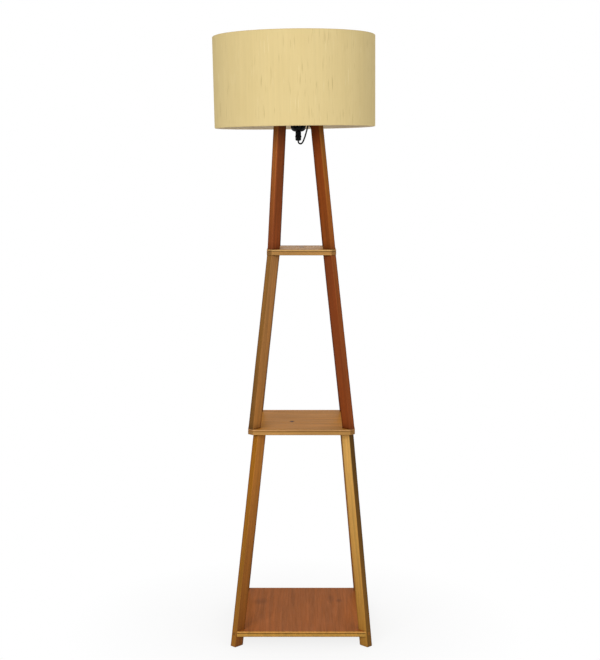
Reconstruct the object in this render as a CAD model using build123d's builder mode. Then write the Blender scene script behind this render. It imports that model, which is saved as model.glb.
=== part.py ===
from build123d import *
import os
from math import cos, pi, radians, sin, sqrt, tan

# A shelf floor lamp. Twelve raked battens, four to a tier, stand on and under three square
# shelves and carry a small square plate. A screw-cap lampholder is clamped in the plate, a
# drum shade sits on the holder, and the flex runs down the back of one leg.
#
# Millimetres, +Z up, +Y to the back. The origin is on the floor, in the middle of the lamp's
# plan; the stand and the holder lean a little to its right and the shade to its left.

os.makedirs("parts", exist_ok=True)

# ---- Heights of the levels ---------------------------------------------------------------
bottom_shelf_top = 40.0
middle_shelf_top = 547.0
top_shelf_top = 992.0
plate_top = 1320.0

# ---- Shelves and plate -------------------------------------------------------------------
bottom_shelf_side = 348.0
middle_shelf_side = 267.0
top_shelf_side = 173.0
shelf_thickness = 14.0
plate_side = 123.0
plate_thickness = 12.0
edge_ease = 0.8  # small bevel along the shelves' top and bottom arrises
groove_below_top = 3.6  # a shallow groove runs round each shelf's edge
groove_height = 1.8
groove_depth = 1.4
slot_clearance = 0.2  # between a leg and its corner slot in the bottom shelf

# ---- Legs --------------------------------------------------------------------------------
leg_depth = 28.0  # along the diagonal of the stand
leg_width = 17.0  # across the diagonal
leg_arris = 1.5  # rounding of the long arrises
stand_x = 14.0  # the shelves' middle is this far to the right of the origin
lower_proud = 1.4  # the lower legs stand out of the bottom shelf's sides by this
lower_inset = 7.5  # the lower legs' tops sit inside the middle shelf's corners by this
lower_shift = 5.0  # and are set this far to the right and to the back
upper_inset = 1.0  # the upper legs' feet sit inside the top shelf's corners by this

# ---- Fixings of the stand ----------------------------------------------------------------
dowel_diameter = 8.0
dowel_in_leg = 24.0
dowel_in_shelf = 6.0
dowel_clearance = 0.1
screw_shank = 4.0
screw_head = 7.6
screw_head_height = 2.6
shelf_screw_length = 42.0
plate_screw_length = 40.0
pellet_diameter = 8.0
pellet_depth = 5.0
hole_clearance = 0.1

# ---- Lampholder --------------------------------------------------------------------------
holder_x = 6.0  # the holder's axis is this far to the right of the origin
skirt_diameter = 40.0  # the holder's outer thread, which takes the clamping rings
skirt_wall = 3.4
skirt_above_plate = 18.0
skirt_bevel = 1.5
ring_diameter = 56.0
ring_height = 8.0
ring_clearance = 0.3
ring_slack = 0.2  # the upper ring is backed off this far, so that the shade can be turned
ring_grips = 16
ring_grip_radius = 2.6  # of the hollows round a ring's rim
ring_grip_out = 1.6  # from the rim out to the hollows' centres
cap_diameter = 37.6
cap_height = 16.2
cap_wall = 2.0
cap_dome_height = 9.4  # the domed lower part of the cap
cap_dome_in = 3.7  # the dome's middle, in from the cap's side
cap_dome_up = 3.1  # and up from its lowest level
neck_diameter = 14.2
grip_length = 22.6
grip_collar = 16.0
grip_collar_height = 5.0
grip_collar_drop = 9.9  # the collar's top is this far below the cap
grip_collar_bevel = 0.8
grip_nut_inset = 0.5  # the ribbed nut is this much slimmer than the neck
grip_end_diameter = 12.0
grip_bevel = 1.2
grip_ribs = 6
core_height = 12.0
core_clearance = 0.2
terminal_spacing = 18.2
terminal_width = 6.0
terminal_depth = 4.0  # along the holder's radius
terminal_height = 4.0
shell_bore = 27.4
shell_wall = 0.5
shell_length = 29.0
contact_head = 9.0
contact_stem = 4.8
contact_fit = 0.05
contact_standoff = 0.2
contact_head_height = 1.4
contact_round = 0.6
contact_stem_margin = 2.0  # the stem stops this far above the core's underside

# ---- Lamp bulb ---------------------------------------------------------------------------
bulb_cap_diameter = 26.2
bulb_cap_length = 27.0
bulb_tip_diameter = 9.4
bulb_tip_height = 1.4
bulb_insulator_height = 3.6  # the glass cone between the tip and the threaded part
bulb_insulator_in = 2.0  # the cone's wide end is this far inside the cap's side
bulb_shoulder = 1.0
bulb_neck_inset = 0.3  # the neck is this far inside the cap's side
bulb_neck_flare = 0.15  # the neck's slope where it leaves the cap
bulb_diameter = 60.0
bulb_length = 108.0
bulb_glass = 1.2

# ---- Drum shade --------------------------------------------------------------------------
drum_bottom_z = 1294.0
drum_height = 226.0
drum_diameter = 407.0  # at the upper rim
drum_taper = 3.4  # the lower rim is this much narrower
drum_offset_x = -8.4  # the drum hangs a little to the left of the holder
drum_tilt = 0.8  # degrees, right side up
fabric_thickness = 0.8
liner_thickness = 0.5
drum_wire = 3.4  # the two hoops
hem_depth = 9.0  # how far the fabric is turned in over a hoop
hem_ease = 0.1
hem_snip = 9.0  # the lower hem is snipped this wide where an arm passes
hub_diameter = 64.0
hub_thickness = 2.5
arm_wire = 3.2
arm_count = 3
arm_first_angle = 90.0  # one arm to the back, two to the front corners
arm_level_reach = 110.0  # the arms run level this far from the axis, then drop to the hoop
arm_weld = 1.4  # how far an arm runs into the hub and the hoop it is welded to
arm_bend = 14.0

# ---- Flex, its clips and its plug ----------------------------------------------------------
cord_diameter = 4.0
cord_gap = 0.4  # between the flex and the leg that it runs down
cord_floor_gap = 0.05
kink_margin = 12.0  # the flex bends this far above and below a shelf
notch_width = 10.0
clip_length = 8.0
clip_wall = 1.3
clip_play = 0.3
clip_tab = 5.4
clip_tab_thickness = 2.4
clip_margin = 42.0  # from a shelf to the nearest clip
clip_below_plate = 43.0  # from the plate to the highest clip
upper_clip_count = 3
middle_clip_count = 3
lower_clip_count = 4
nail_diameter = 1.6
nail_in_leg = 11.0
nail_head = 3.6
nail_head_height = 0.8
nail_head_gap = 0.6  # between a nail's head and the saddle beside it
coil_x = 104.0
coil_y = 210.0
coil_mean_diameter = 44.0
coil_width = 16.0
coil_height = 12.0
coil_round = 3.4
plug_x = 36.0  # where the flex goes into the plug
plug_y = 198.0
plug_turn = 176.0  # degrees, the way that the pins point
plug_length = 34.0
plug_width = 34.0
plug_thickness = 13.6
plug_nose = 16.0
plug_round = 3.0
relief_length = 20.0
relief_diameter = 8.0
relief_end_diameter = 5.6
pin_diameter = 4.0
pin_length = 19.0
pin_spacing = 18.6
pin_end_round = 1.6

# ---- Worked out ----------------------------------------------------------------------------
bottom_shelf_low = bottom_shelf_top - shelf_thickness
middle_shelf_low = middle_shelf_top - shelf_thickness
top_shelf_low = top_shelf_top - shelf_thickness
plate_low = plate_top - plate_thickness
bottom_shelf_mid = bottom_shelf_top - shelf_thickness / 2
root_two = sqrt(2)
corner_clip = leg_width / root_two
corner_to_leg = (leg_width + leg_depth) / (2 * root_two)
corners = {
    "front_left": (-1, -1),
    "front_right": (1, -1),
    "back_left": (-1, 1),
    "back_right": (1, 1),
}

# A tier of legs runs between two squares: (height, half side, centre x, centre y) each.
lower_tier = (
    (bottom_shelf_mid, bottom_shelf_side / 2 + lower_proud, stand_x, 0.0),
    (
        middle_shelf_low,
        middle_shelf_side / 2 - lower_inset,
        stand_x + lower_shift,
        lower_shift,
    ),
)
middle_tier = (
    (middle_shelf_top, middle_shelf_side / 2, stand_x, 0.0),
    (top_shelf_low, top_shelf_side / 2, stand_x, 0.0),
)
upper_tier = (
    (top_shelf_top, top_shelf_side / 2 - upper_inset, stand_x, 0.0),
    (plate_low, plate_side / 2, holder_x, 0.0),
)


holder_axis = Axis((holder_x, 0, 0), (0, 0, 1))
holder_section = Plane(origin=(holder_x, 0, 0), x_dir=(1, 0, 0), z_dir=(0, -1, 0))


def holder_level(z):
    """Level plane at height z, centred on the holder's axis."""
    return Plane(origin=(holder_x, 0, z))


def leg_centre(tier, corner, z):
    """Centre of a leg's section at height z: on the straight line between the tier's squares."""
    (z0, half0, x0, y0), (z1, half1, x1, y1) = tier
    share = (z - z0) / (z1 - z0)
    reach = half0 + share * (half1 - half0) - corner_to_leg
    x = x0 + share * (x1 - x0) + corner[0] * reach
    y = y0 + share * (y1 - y0) + corner[1] * reach
    return (x, y)


def leg_blank(tier, corner, low, high, spare=0.0, arris=0.0):
    """A batten set on the diagonal and cut level at both ends, spare wider on every side."""
    foot = Vector(*leg_centre(tier, corner, low), low)
    rake = Vector(*leg_centre(tier, corner, high), high) - foot
    with BuildPart() as blank:
        with BuildSketch(Plane.XY.offset(low)) as section:
            with Locations((foot.X, foot.Y)):
                Rectangle(
                    leg_depth + 2 * spare,
                    leg_width + 2 * spare,
                    rotation=45 * corner[0] * corner[1],
                )
            if arris > 0:
                fillet(section.vertices(), radius=arris)
        extrude(amount=rake.length, dir=rake.normalized())
    return blank.part


def outward_plane(tier, corner, z):
    """Plane on a leg's outer narrow face, looking out along the diagonal."""
    x, y = leg_centre(tier, corner, z)
    out = Vector(corner[0], corner[1], 0) / root_two
    return Plane(origin=Vector(x, y, z) + out * (leg_depth / 2), z_dir=out)


# ---- Shelves: boards with a grooved edge, each with a notch for the flex at the back --------
def board(side, low, thickness, x=0.0):
    """A square board with its four corners cut off, as wide as a leg, and its arrises eased."""
    with BuildPart() as made:
        with BuildSketch(Plane.XY.offset(low)) as outline:
            with Locations((x, 0)):
                Rectangle(side, side)
            chamfer(outline.vertices(), length=corner_clip)
        extrude(amount=thickness)
        flat_faces = made.faces().filter_by(Axis.Z)
        chamfer(flat_faces.edges(), length=edge_ease)
    return made.part


def edge_groove(side, top, x=0.0):
    """The ring that is cut away all round a board's edge, below its top."""
    with BuildPart() as ring:
        with BuildSketch(Plane.XY.offset(top - groove_below_top)) as outline:
            with Locations((x, 0)):
                Rectangle(side, side)
            chamfer(outline.vertices(), length=corner_clip)
            offset(amount=groove_depth, kind=Kind.INTERSECTION)
            with Locations((x, 0)):
                Rectangle(
                    side - 2 * groove_depth,
                    side - 2 * groove_depth,
                    mode=Mode.SUBTRACT,
                )
        extrude(amount=-groove_height)
    return ring.part


def cord_place(tier, z):
    """Where the flex runs at height z: against the hidden wide face of the back right leg."""
    x, y = leg_centre(tier, corners["back_right"], z)
    off = (leg_width / 2 + cord_gap + cord_diameter / 2) / root_two
    return (x - off, y + off)


def cord_notch(x, y, side, low, spare=0.0):
    """The slot in a board's back edge, open to the back, that the flex drops through."""
    reach = side / 2 + notch_width - y
    with BuildPart() as notch:
        with BuildSketch(Plane.XY.offset(low)):
            with Locations((x, y)):
                Circle(notch_width / 2)
            with Locations((x - notch_width / 2, y)):
                Rectangle(notch_width + spare, reach, align=(Align.MIN, Align.MIN))
        extrude(amount=shelf_thickness)
    return notch.part


def pegs(level, centres, depth, clearance=0.0):
    """Upright round pegs, or their holes if wider by a clearance; depth is down if negative."""
    with BuildPart() as made:
        with BuildSketch(Plane.XY.offset(level)):
            with Locations(*centres):
                Circle(dowel_diameter / 2 + clearance)
        extrude(amount=depth)
    return made.part


slot_tools = []
for corner in corners.values():
    slot_tools.append(
        leg_blank(lower_tier, corner, bottom_shelf_low, bottom_shelf_top, slot_clearance)
    )
bottom_board = board(bottom_shelf_side, bottom_shelf_low, shelf_thickness, stand_x)
bottom_groove = edge_groove(bottom_shelf_side, bottom_shelf_top, stand_x)
notch_x, notch_y = cord_place(lower_tier, bottom_shelf_mid)
bottom_notch = cord_notch(
    notch_x, notch_y, bottom_shelf_side, bottom_shelf_low, spare=leg_width
)
with BuildPart() as shelf_bottom:
    add(bottom_board)
    add(bottom_groove, mode=Mode.SUBTRACT)
    add(bottom_notch, mode=Mode.SUBTRACT)
    for tool in slot_tools:
        add(tool, mode=Mode.SUBTRACT)
    for corner in corners.values():
        with BuildSketch(outward_plane(lower_tier, corner, bottom_shelf_mid)):
            Circle(screw_shank / 2 + hole_clearance)
        extrude(amount=-(pellet_depth + shelf_screw_length), mode=Mode.SUBTRACT)
shelf_bottom.part.label = "shelf_bottom"
export_step(shelf_bottom.part, "parts/shelf_bottom.step")

lower_tops = [leg_centre(lower_tier, c, middle_shelf_low) for c in corners.values()]
middle_feet = [leg_centre(middle_tier, c, middle_shelf_top) for c in corners.values()]
middle_tops = [leg_centre(middle_tier, c, top_shelf_low) for c in corners.values()]
upper_feet = [leg_centre(upper_tier, c, top_shelf_top) for c in corners.values()]
upper_tops = [leg_centre(upper_tier, c, plate_low) for c in corners.values()]

middle_low_holes = pegs(
    middle_shelf_low, lower_tops, dowel_in_shelf, dowel_clearance
)
middle_high_holes = pegs(
    middle_shelf_top, middle_feet, -dowel_in_shelf, dowel_clearance
)
middle_board = board(middle_shelf_side, middle_shelf_low, shelf_thickness, stand_x)
middle_groove = edge_groove(middle_shelf_side, middle_shelf_top, stand_x)
over = cord_place(middle_tier, middle_shelf_top + kink_margin)
under = cord_place(lower_tier, middle_shelf_low - kink_margin)
middle_notch = cord_notch(
    (over[0] + under[0]) / 2,
    (over[1] + under[1]) / 2,
    middle_shelf_side,
    middle_shelf_low,
)
with BuildPart() as shelf_middle:
    add(middle_board)
    add(middle_groove, mode=Mode.SUBTRACT)
    add(middle_notch, mode=Mode.SUBTRACT)
    add(middle_low_holes, mode=Mode.SUBTRACT)
    add(middle_high_holes, mode=Mode.SUBTRACT)
shelf_middle.part.label = "shelf_middle"
export_step(shelf_middle.part, "parts/shelf_middle.step")

top_low_holes = pegs(top_shelf_low, middle_tops, dowel_in_shelf, dowel_clearance)
top_high_holes = pegs(top_shelf_top, upper_feet, -dowel_in_shelf, dowel_clearance)
top_board = board(top_shelf_side, top_shelf_low, shelf_thickness, stand_x)
top_groove = edge_groove(top_shelf_side, top_shelf_top, stand_x)
over = cord_place(upper_tier, top_shelf_top + kink_margin)
under = cord_place(middle_tier, top_shelf_low - kink_margin)
top_notch = cord_notch(
    (over[0] + under[0]) / 2,
    (over[1] + under[1]) / 2,
    top_shelf_side,
    top_shelf_low,
)
with BuildPart() as shelf_top:
    add(top_board)
    add(top_groove, mode=Mode.SUBTRACT)
    add(top_notch, mode=Mode.SUBTRACT)
    add(top_low_holes, mode=Mode.SUBTRACT)
    add(top_high_holes, mode=Mode.SUBTRACT)
shelf_top.part.label = "shelf_top"
export_step(shelf_top.part, "parts/shelf_top.step")

# ---- Holder plate: a small board on the upper legs, with a round hole for the holder ---------
plate_board = board(plate_side, plate_low, plate_thickness, holder_x)
with BuildPart() as holder_plate:
    add(plate_board)
    with BuildSketch(holder_level(plate_low)):
        Circle(skirt_diameter / 2 + ring_clearance)
    extrude(amount=plate_thickness, mode=Mode.SUBTRACT)
    with BuildSketch(Plane.XY.offset(plate_low)):
        with Locations(*upper_tops):
            Circle(screw_shank / 2 + hole_clearance)
    extrude(amount=plate_thickness, mode=Mode.SUBTRACT)
    with BuildSketch(Plane.XY.offset(plate_top)):
        with Locations(*upper_tops):
            Circle(screw_head / 2 + hole_clearance)
    extrude(amount=-(screw_head_height + edge_ease), mode=Mode.SUBTRACT)
holder_plate.part.label = "holder_plate"
export_step(holder_plate.part, "parts/holder_plate.step")


# ---- Cord clips: saddles over the flex, each nailed to the leg through a tab -----------------
clip_bore = cord_diameter / 2 + clip_play
clip_outer = clip_bore + clip_wall
nail_out = clip_outer + nail_head_gap + nail_head / 2


def clip_heights(low, high, count):
    """Heights of count clips, evenly spaced between low and high."""
    return [low + (high - low) * number / (count - 1) for number in range(count)]


def clip_plane(tier, z):
    """Plane across the back right leg on its hidden wide face, its Y straight off the face."""
    corner = corners["back_right"]
    x0, y0 = leg_centre(tier, corner, z)
    x1, y1 = leg_centre(tier, corner, z + 1)
    along = Vector(x1 - x0, y1 - y0, 1).normalized()
    diagonal = Vector(1, 1, 0) / root_two
    off = along.cross(diagonal).normalized()
    place = Vector(x0, y0, z) + Vector(-1, 1, 0) / root_two * (leg_width / 2)
    return Plane(origin=place, x_dir=off.cross(along), z_dir=along)


clip_spans = (
    (
        upper_tier,
        top_shelf_top + clip_margin,
        plate_low - clip_below_plate,
        upper_clip_count,
    ),
    (
        middle_tier,
        middle_shelf_top + clip_margin,
        top_shelf_low - clip_margin,
        middle_clip_count,
    ),
    (
        lower_tier,
        bottom_shelf_top + clip_margin,
        middle_shelf_low - clip_margin,
        lower_clip_count,
    ),
)
clip_set = []
nail_set = []
nail_hole_sets = []
for tier, low, high, count in clip_spans:
    tier_holes = []
    for z in clip_heights(low, high, count):
        across = clip_plane(tier, z)
        axis_height = cord_gap + cord_diameter / 2
        with BuildPart() as clip:
            with BuildSketch(across):
                with Locations((0, axis_height)):
                    Circle(clip_outer)
                with Locations((-clip_outer, 0)):
                    Rectangle(
                        2 * clip_outer, axis_height, align=(Align.MIN, Align.MIN)
                    )
                with Locations((0, 0)):
                    Rectangle(
                        clip_outer + clip_tab,
                        clip_tab_thickness,
                        align=(Align.MIN, Align.MIN),
                    )
                with Locations((0, axis_height)):
                    Circle(clip_bore, mode=Mode.SUBTRACT)
                with Locations((-clip_bore, axis_height)):
                    Rectangle(
                        2 * clip_bore,
                        axis_height,
                        align=(Align.MIN, Align.MAX),
                        mode=Mode.SUBTRACT,
                    )
                with Locations((-clip_outer, 0)):
                    Rectangle(
                        2 * clip_outer,
                        clip_outer,
                        align=(Align.MIN, Align.MAX),
                        mode=Mode.SUBTRACT,
                    )
            extrude(amount=clip_length / 2, both=True)
            off_face = Plane(
                origin=across.origin + across.x_dir * nail_out,
                x_dir=across.x_dir,
                z_dir=across.y_dir,
            )
            with BuildSketch(off_face):
                Circle(nail_diameter / 2 + hole_clearance)
            extrude(amount=clip_tab_thickness, mode=Mode.SUBTRACT)
        clip_set.append(clip.part)
        with BuildPart() as nail:
            with BuildSketch(off_face.offset(clip_tab_thickness)):
                Circle(nail_head / 2)
            extrude(amount=nail_head_height)
            with BuildSketch(off_face.offset(clip_tab_thickness)):
                Circle(nail_diameter / 2)
            extrude(amount=-(clip_tab_thickness + nail_in_leg))
        nail_set.append(nail.part)
        with BuildPart() as nail_hole:
            with BuildSketch(off_face.offset(1)):
                Circle(nail_diameter / 2 + hole_clearance)
            extrude(amount=-(nail_in_leg + 1 + hole_clearance))
        tier_holes.append(nail_hole.part)
    nail_hole_sets.append(Compound(tier_holes))
with BuildPart() as cord_clips:
    for one in clip_set:
        add(one)
cord_clips.part.label = "cord_clips"
export_step(cord_clips.part, "parts/cord_clips.step")
with BuildPart() as clip_nails:
    for one in nail_set:
        add(one)
clip_nails.part.label = "clip_nails"
export_step(clip_nails.part, "parts/clip_nails.step")
upper_nail_holes, middle_nail_holes, lower_nail_holes = nail_hole_sets

# ---- Legs: twelve battens, pegged into the shelves ------------------------------------------
for place, corner in corners.items():
    blank = leg_blank(lower_tier, corner, 0.0, middle_shelf_low, arris=leg_arris)
    face = outward_plane(lower_tier, corner, bottom_shelf_mid)
    top = leg_centre(lower_tier, corner, middle_shelf_low)
    top_hole = pegs(middle_shelf_low, [top], -dowel_in_leg, dowel_clearance)
    with BuildPart() as leg:
        add(blank)
        add(top_hole, mode=Mode.SUBTRACT)
        with BuildSketch(face.offset(leg_arris)):
            Circle(pellet_diameter / 2 + hole_clearance)
        extrude(
            amount=-(pellet_depth + screw_head_height + leg_arris), mode=Mode.SUBTRACT
        )
        with BuildSketch(face):
            Circle(screw_shank / 2 + hole_clearance)
        extrude(amount=-(leg_depth + leg_arris), mode=Mode.SUBTRACT)
        if place == "back_right":
            add(lower_nail_holes, mode=Mode.SUBTRACT)
    leg.part.label = "leg_lower_" + place
    export_step(leg.part, "parts/leg_lower_" + place + ".step")

for place, corner in corners.items():
    blank = leg_blank(
        middle_tier, corner, middle_shelf_top, top_shelf_low, arris=leg_arris
    )
    foot = leg_centre(middle_tier, corner, middle_shelf_top)
    top = leg_centre(middle_tier, corner, top_shelf_low)
    foot_hole = pegs(middle_shelf_top, [foot], dowel_in_leg, dowel_clearance)
    top_hole = pegs(top_shelf_low, [top], -dowel_in_leg, dowel_clearance)
    with BuildPart() as leg:
        add(blank)
        add(foot_hole, mode=Mode.SUBTRACT)
        add(top_hole, mode=Mode.SUBTRACT)
        if place == "back_right":
            add(middle_nail_holes, mode=Mode.SUBTRACT)
    leg.part.label = "leg_middle_" + place
    export_step(leg.part, "parts/leg_middle_" + place + ".step")

for place, corner in corners.items():
    blank = leg_blank(upper_tier, corner, top_shelf_top, plate_low, arris=leg_arris)
    foot = leg_centre(upper_tier, corner, top_shelf_top)
    top = leg_centre(upper_tier, corner, plate_low)
    foot_hole = pegs(top_shelf_top, [foot], dowel_in_leg, dowel_clearance)
    with BuildPart() as leg:
        add(blank)
        add(foot_hole, mode=Mode.SUBTRACT)
        with BuildSketch(Plane.XY.offset(plate_low)):
            with Locations(top):
                Circle(screw_shank / 2 + hole_clearance)
        extrude(amount=-(plate_screw_length - plate_thickness), mode=Mode.SUBTRACT)
        if place == "back_right":
            add(upper_nail_holes, mode=Mode.SUBTRACT)
    leg.part.label = "leg_upper_" + place
    export_step(leg.part, "parts/leg_upper_" + place + ".step")

# ---- Dowels: four at each joint of a tier and a shelf -----------------------------------------
dowel_rows = {
    "dowels_lower_top": (lower_tops, middle_shelf_low - dowel_in_leg),
    "dowels_middle_foot": (middle_feet, middle_shelf_top - dowel_in_shelf),
    "dowels_middle_top": (middle_tops, top_shelf_low - dowel_in_leg),
    "dowels_upper_foot": (upper_feet, top_shelf_top - dowel_in_shelf),
}
for name, (centres, start) in dowel_rows.items():
    row = pegs(start, centres, dowel_in_leg + dowel_in_shelf)
    row.label = name
    export_step(row, "parts/" + name + ".step")


# ---- Screws of the bottom shelf and of the plate, and the pellets over the shelf screws --------
def screw(plane, length):
    """A countersunk wood screw: its head's top on the plane, its shank going down from it."""
    across = Plane(origin=plane.origin, x_dir=plane.x_dir, z_dir=-plane.y_dir)
    with BuildPart() as made:
        with BuildSketch(across):
            with BuildLine():
                Polyline(
                    (0, 0),
                    (screw_head / 2, 0),
                    (screw_shank / 2, -screw_head_height),
                    (screw_shank / 2, -(length - screw_shank)),
                    (0, -length),
                    close=True,
                )
            make_face()
        revolve(axis=Axis(plane.origin, plane.z_dir))
    return made.part


shelf_screw_set = []
for corner in corners.values():
    face = outward_plane(lower_tier, corner, bottom_shelf_mid)
    shelf_screw_set.append(screw(face.offset(-pellet_depth), shelf_screw_length))
with BuildPart() as shelf_screws:
    for one in shelf_screw_set:
        add(one)
shelf_screws.part.label = "shelf_screws"
export_step(shelf_screws.part, "parts/shelf_screws.step")

plate_screw_set = []
for x, y in upper_tops:
    head = Plane(origin=(x, y, plate_top - edge_ease))
    plate_screw_set.append(screw(head, plate_screw_length - edge_ease))
with BuildPart() as plate_screws:
    for one in plate_screw_set:
        add(one)
plate_screws.part.label = "plate_screws"
export_step(plate_screws.part, "parts/plate_screws.step")

pellet_set = []
for corner in corners.values():
    face = outward_plane(lower_tier, corner, bottom_shelf_mid)
    blank = leg_blank(lower_tier, corner, 0.0, middle_shelf_low, arris=leg_arris)
    with BuildPart() as pellet:
        with BuildSketch(face.offset(-pellet_depth)):
            Circle(pellet_diameter / 2)
        extrude(amount=pellet_depth + leg_arris)
        add(blank, mode=Mode.INTERSECT)
    pellet_set.append(pellet.part)
with BuildPart() as screw_pellets:
    for one in pellet_set:
        add(one)
screw_pellets.part.label = "screw_pellets"
export_step(screw_pellets.part, "parts/screw_pellets.step")

# ---- Lampholder: cap and cord grip below the plate, skirt through it, a ring on each side ------
skirt_r = skirt_diameter / 2
skirt_low = plate_low - ring_height
skirt_top = plate_top + skirt_above_plate
cap_r = cap_diameter / 2
cap_top = skirt_low
cap_low = cap_top - cap_height
cap_bore = cap_r - cap_wall
core_r = cap_bore - skirt_wall / 2 - 2 * core_clearance
core_low = cap_top - core_height / 2
core_top = core_low + core_height
shell_r = shell_bore / 2 + shell_wall
neck_r = neck_diameter / 2

with BuildPart() as holder_cap:
    with BuildSketch(holder_section):
        with BuildLine():
            Line((0, cap_low), (neck_r, cap_low))
            ThreePointArc(
                (neck_r, cap_low),
                (cap_r - cap_dome_in, cap_low + cap_dome_up),
                (cap_r, cap_low + cap_dome_height),
            )
            Line((cap_r, cap_low + cap_dome_height), (cap_r, cap_top))
            Line((cap_r, cap_top), (cap_bore, cap_top))
            Line((cap_bore, cap_top), (cap_bore, cap_low + cap_dome_height))
            ThreePointArc(
                (cap_bore, cap_low + cap_dome_height),
                (
                    cap_r - cap_dome_in - cap_wall / root_two,
                    cap_low + cap_dome_up + cap_wall / root_two,
                ),
                (neck_r, cap_low + cap_wall),
            )
            Line((neck_r, cap_low + cap_wall), (0, cap_low + cap_wall))
            Line((0, cap_low + cap_wall), (0, cap_low))
        make_face()
    revolve(axis=holder_axis)
holder_cap.part.label = "holder_cap"
export_step(holder_cap.part, "parts/holder_cap.step")

grip_low = cap_low - grip_length
grip_nut_r = neck_r - grip_nut_inset
collar_top = cap_low - grip_collar_drop
collar_low = collar_top - grip_collar_height
with BuildPart() as cord_grip:
    with BuildSketch(holder_section):
        with BuildLine():
            Polyline(
                (0, cap_low),
                (neck_r, cap_low),
                (neck_r, collar_top),
                (grip_collar / 2, collar_top - grip_collar_bevel),
                (grip_collar / 2, collar_low + grip_collar_bevel),
                (grip_nut_r, collar_low),
                (grip_end_diameter / 2, grip_low + grip_bevel),
                (grip_end_diameter / 2 - grip_bevel, grip_low),
                (0, grip_low),
                close=True,
            )
        make_face()
    revolve(axis=holder_axis)
    with BuildSketch(holder_level(collar_low)):
        with PolarLocations(grip_nut_r - grip_bevel / 2, grip_ribs):
            Circle(grip_bevel)
    extrude(amount=-(collar_low - grip_low - grip_bevel))
cord_grip.part.label = "cord_grip"
export_step(cord_grip.part, "parts/cord_grip.step")

with BuildPart() as holder_skirt:
    with BuildSketch(holder_section):
        with BuildLine():
            Polyline(
                (core_r + core_clearance, core_low),
                (cap_bore - core_clearance, core_low),
                (cap_bore - core_clearance, skirt_low),
                (skirt_r, skirt_low),
                (skirt_r, skirt_top - skirt_bevel),
                (skirt_r - skirt_bevel, skirt_top),
                (skirt_r - skirt_wall, skirt_top),
                (skirt_r - skirt_wall, core_top),
                (core_r + core_clearance, core_top),
                close=True,
            )
        make_face()
    revolve(axis=holder_axis)
holder_skirt.part.label = "holder_skirt"
export_step(holder_skirt.part, "parts/holder_skirt.step")

with BuildPart() as holder_core:
    with BuildSketch(holder_level(core_low)):
        Circle(core_r)
        Circle(contact_stem / 2 + contact_fit, mode=Mode.SUBTRACT)
    extrude(amount=core_height)
holder_core.part.label = "holder_core"
export_step(holder_core.part, "parts/holder_core.step")

with BuildPart() as terminals:
    with BuildSketch(holder_level(core_low)):
        with PolarLocations(terminal_spacing / 2, 2):
            Rectangle(terminal_depth, terminal_width)
    extrude(amount=-terminal_height)
terminals.part.label = "terminals"
export_step(terminals.part, "parts/terminals.step")

with BuildPart() as socket_shell:
    with BuildSketch(holder_level(core_top)):
        Circle(shell_r)
        Circle(shell_bore / 2, mode=Mode.SUBTRACT)
    extrude(amount=shell_length)
socket_shell.part.label = "socket_shell"
export_step(socket_shell.part, "parts/socket_shell.step")

contact_low = core_top + contact_standoff
contact_top = contact_low + contact_head_height
with BuildPart() as centre_contact:
    with BuildSketch(holder_level(contact_low)):
        Circle(contact_head / 2)
    extrude(amount=contact_head_height)
    with BuildSketch(holder_level(contact_low)):
        Circle(contact_stem / 2)
    extrude(amount=-(core_height + contact_standoff - contact_stem_margin))
    fillet(centre_contact.edges().group_by(Axis.Z)[-1], radius=contact_round)
centre_contact.part.label = "centre_contact"
export_step(centre_contact.part, "parts/centre_contact.step")


def clamping_ring(low):
    """A ring that screws on the skirt, with finger grips moulded round its rim."""
    with BuildPart() as made:
        with BuildSketch(holder_level(low)):
            Circle(ring_diameter / 2)
            Circle(skirt_r + ring_clearance, mode=Mode.SUBTRACT)
            with PolarLocations(ring_diameter / 2 + ring_grip_out, ring_grips):
                Circle(ring_grip_radius, mode=Mode.SUBTRACT)
        extrude(amount=ring_height)
    return made.part


lower_ring = clamping_ring(plate_low - ring_height)
lower_ring.label = "ring_below_plate"
export_step(lower_ring, "parts/ring_below_plate.step")

hub_top = plate_top + hub_thickness
shade_ring = clamping_ring(hub_top + ring_slack)
shade_ring.label = "shade_ring"
export_step(shade_ring, "parts/shade_ring.step")

# ---- Bulb: a metal screw cap and a blown globe, hanging in the shade's middle ------------------
bulb_cap_r = bulb_cap_diameter / 2
bulb_cap_top = contact_top + bulb_cap_length
bulb_top = contact_top + bulb_length
bulb_r = bulb_diameter / 2
bulb_middle = bulb_top - bulb_r
bulb_shoulder_low = contact_top + bulb_tip_height + bulb_insulator_height
with BuildPart() as bulb_cap:
    with BuildSketch(holder_section):
        with BuildLine():
            Polyline(
                (0, contact_top),
                (bulb_tip_diameter / 2, contact_top),
                (bulb_tip_diameter / 2, contact_top + bulb_tip_height),
                (bulb_cap_r - bulb_insulator_in, bulb_shoulder_low),
                (bulb_cap_r, bulb_shoulder_low + bulb_shoulder),
                (bulb_cap_r, bulb_cap_top),
                (0, bulb_cap_top),
                close=True,
            )
        make_face()
    revolve(axis=holder_axis)
bulb_cap.part.label = "bulb_cap"
export_step(bulb_cap.part, "parts/bulb_cap.step")


def globe_half(skin):
    """Half section of the globe, skin inside its outer surface."""
    neck = bulb_cap_r - bulb_neck_inset - skin
    with BuildSketch(holder_section) as half:
        with BuildLine():
            Line((0, bulb_cap_top + skin), (neck, bulb_cap_top + skin))
            Spline(
                (neck, bulb_cap_top + skin),
                (bulb_r - skin, bulb_middle),
                tangents=[(bulb_neck_flare, 1), (0, 1)],
            )
            RadiusArc((bulb_r - skin, bulb_middle), (0, bulb_top - skin), -(bulb_r - skin))
            Line((0, bulb_top - skin), (0, bulb_cap_top + skin))
        make_face()
    return half.sketch


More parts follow.
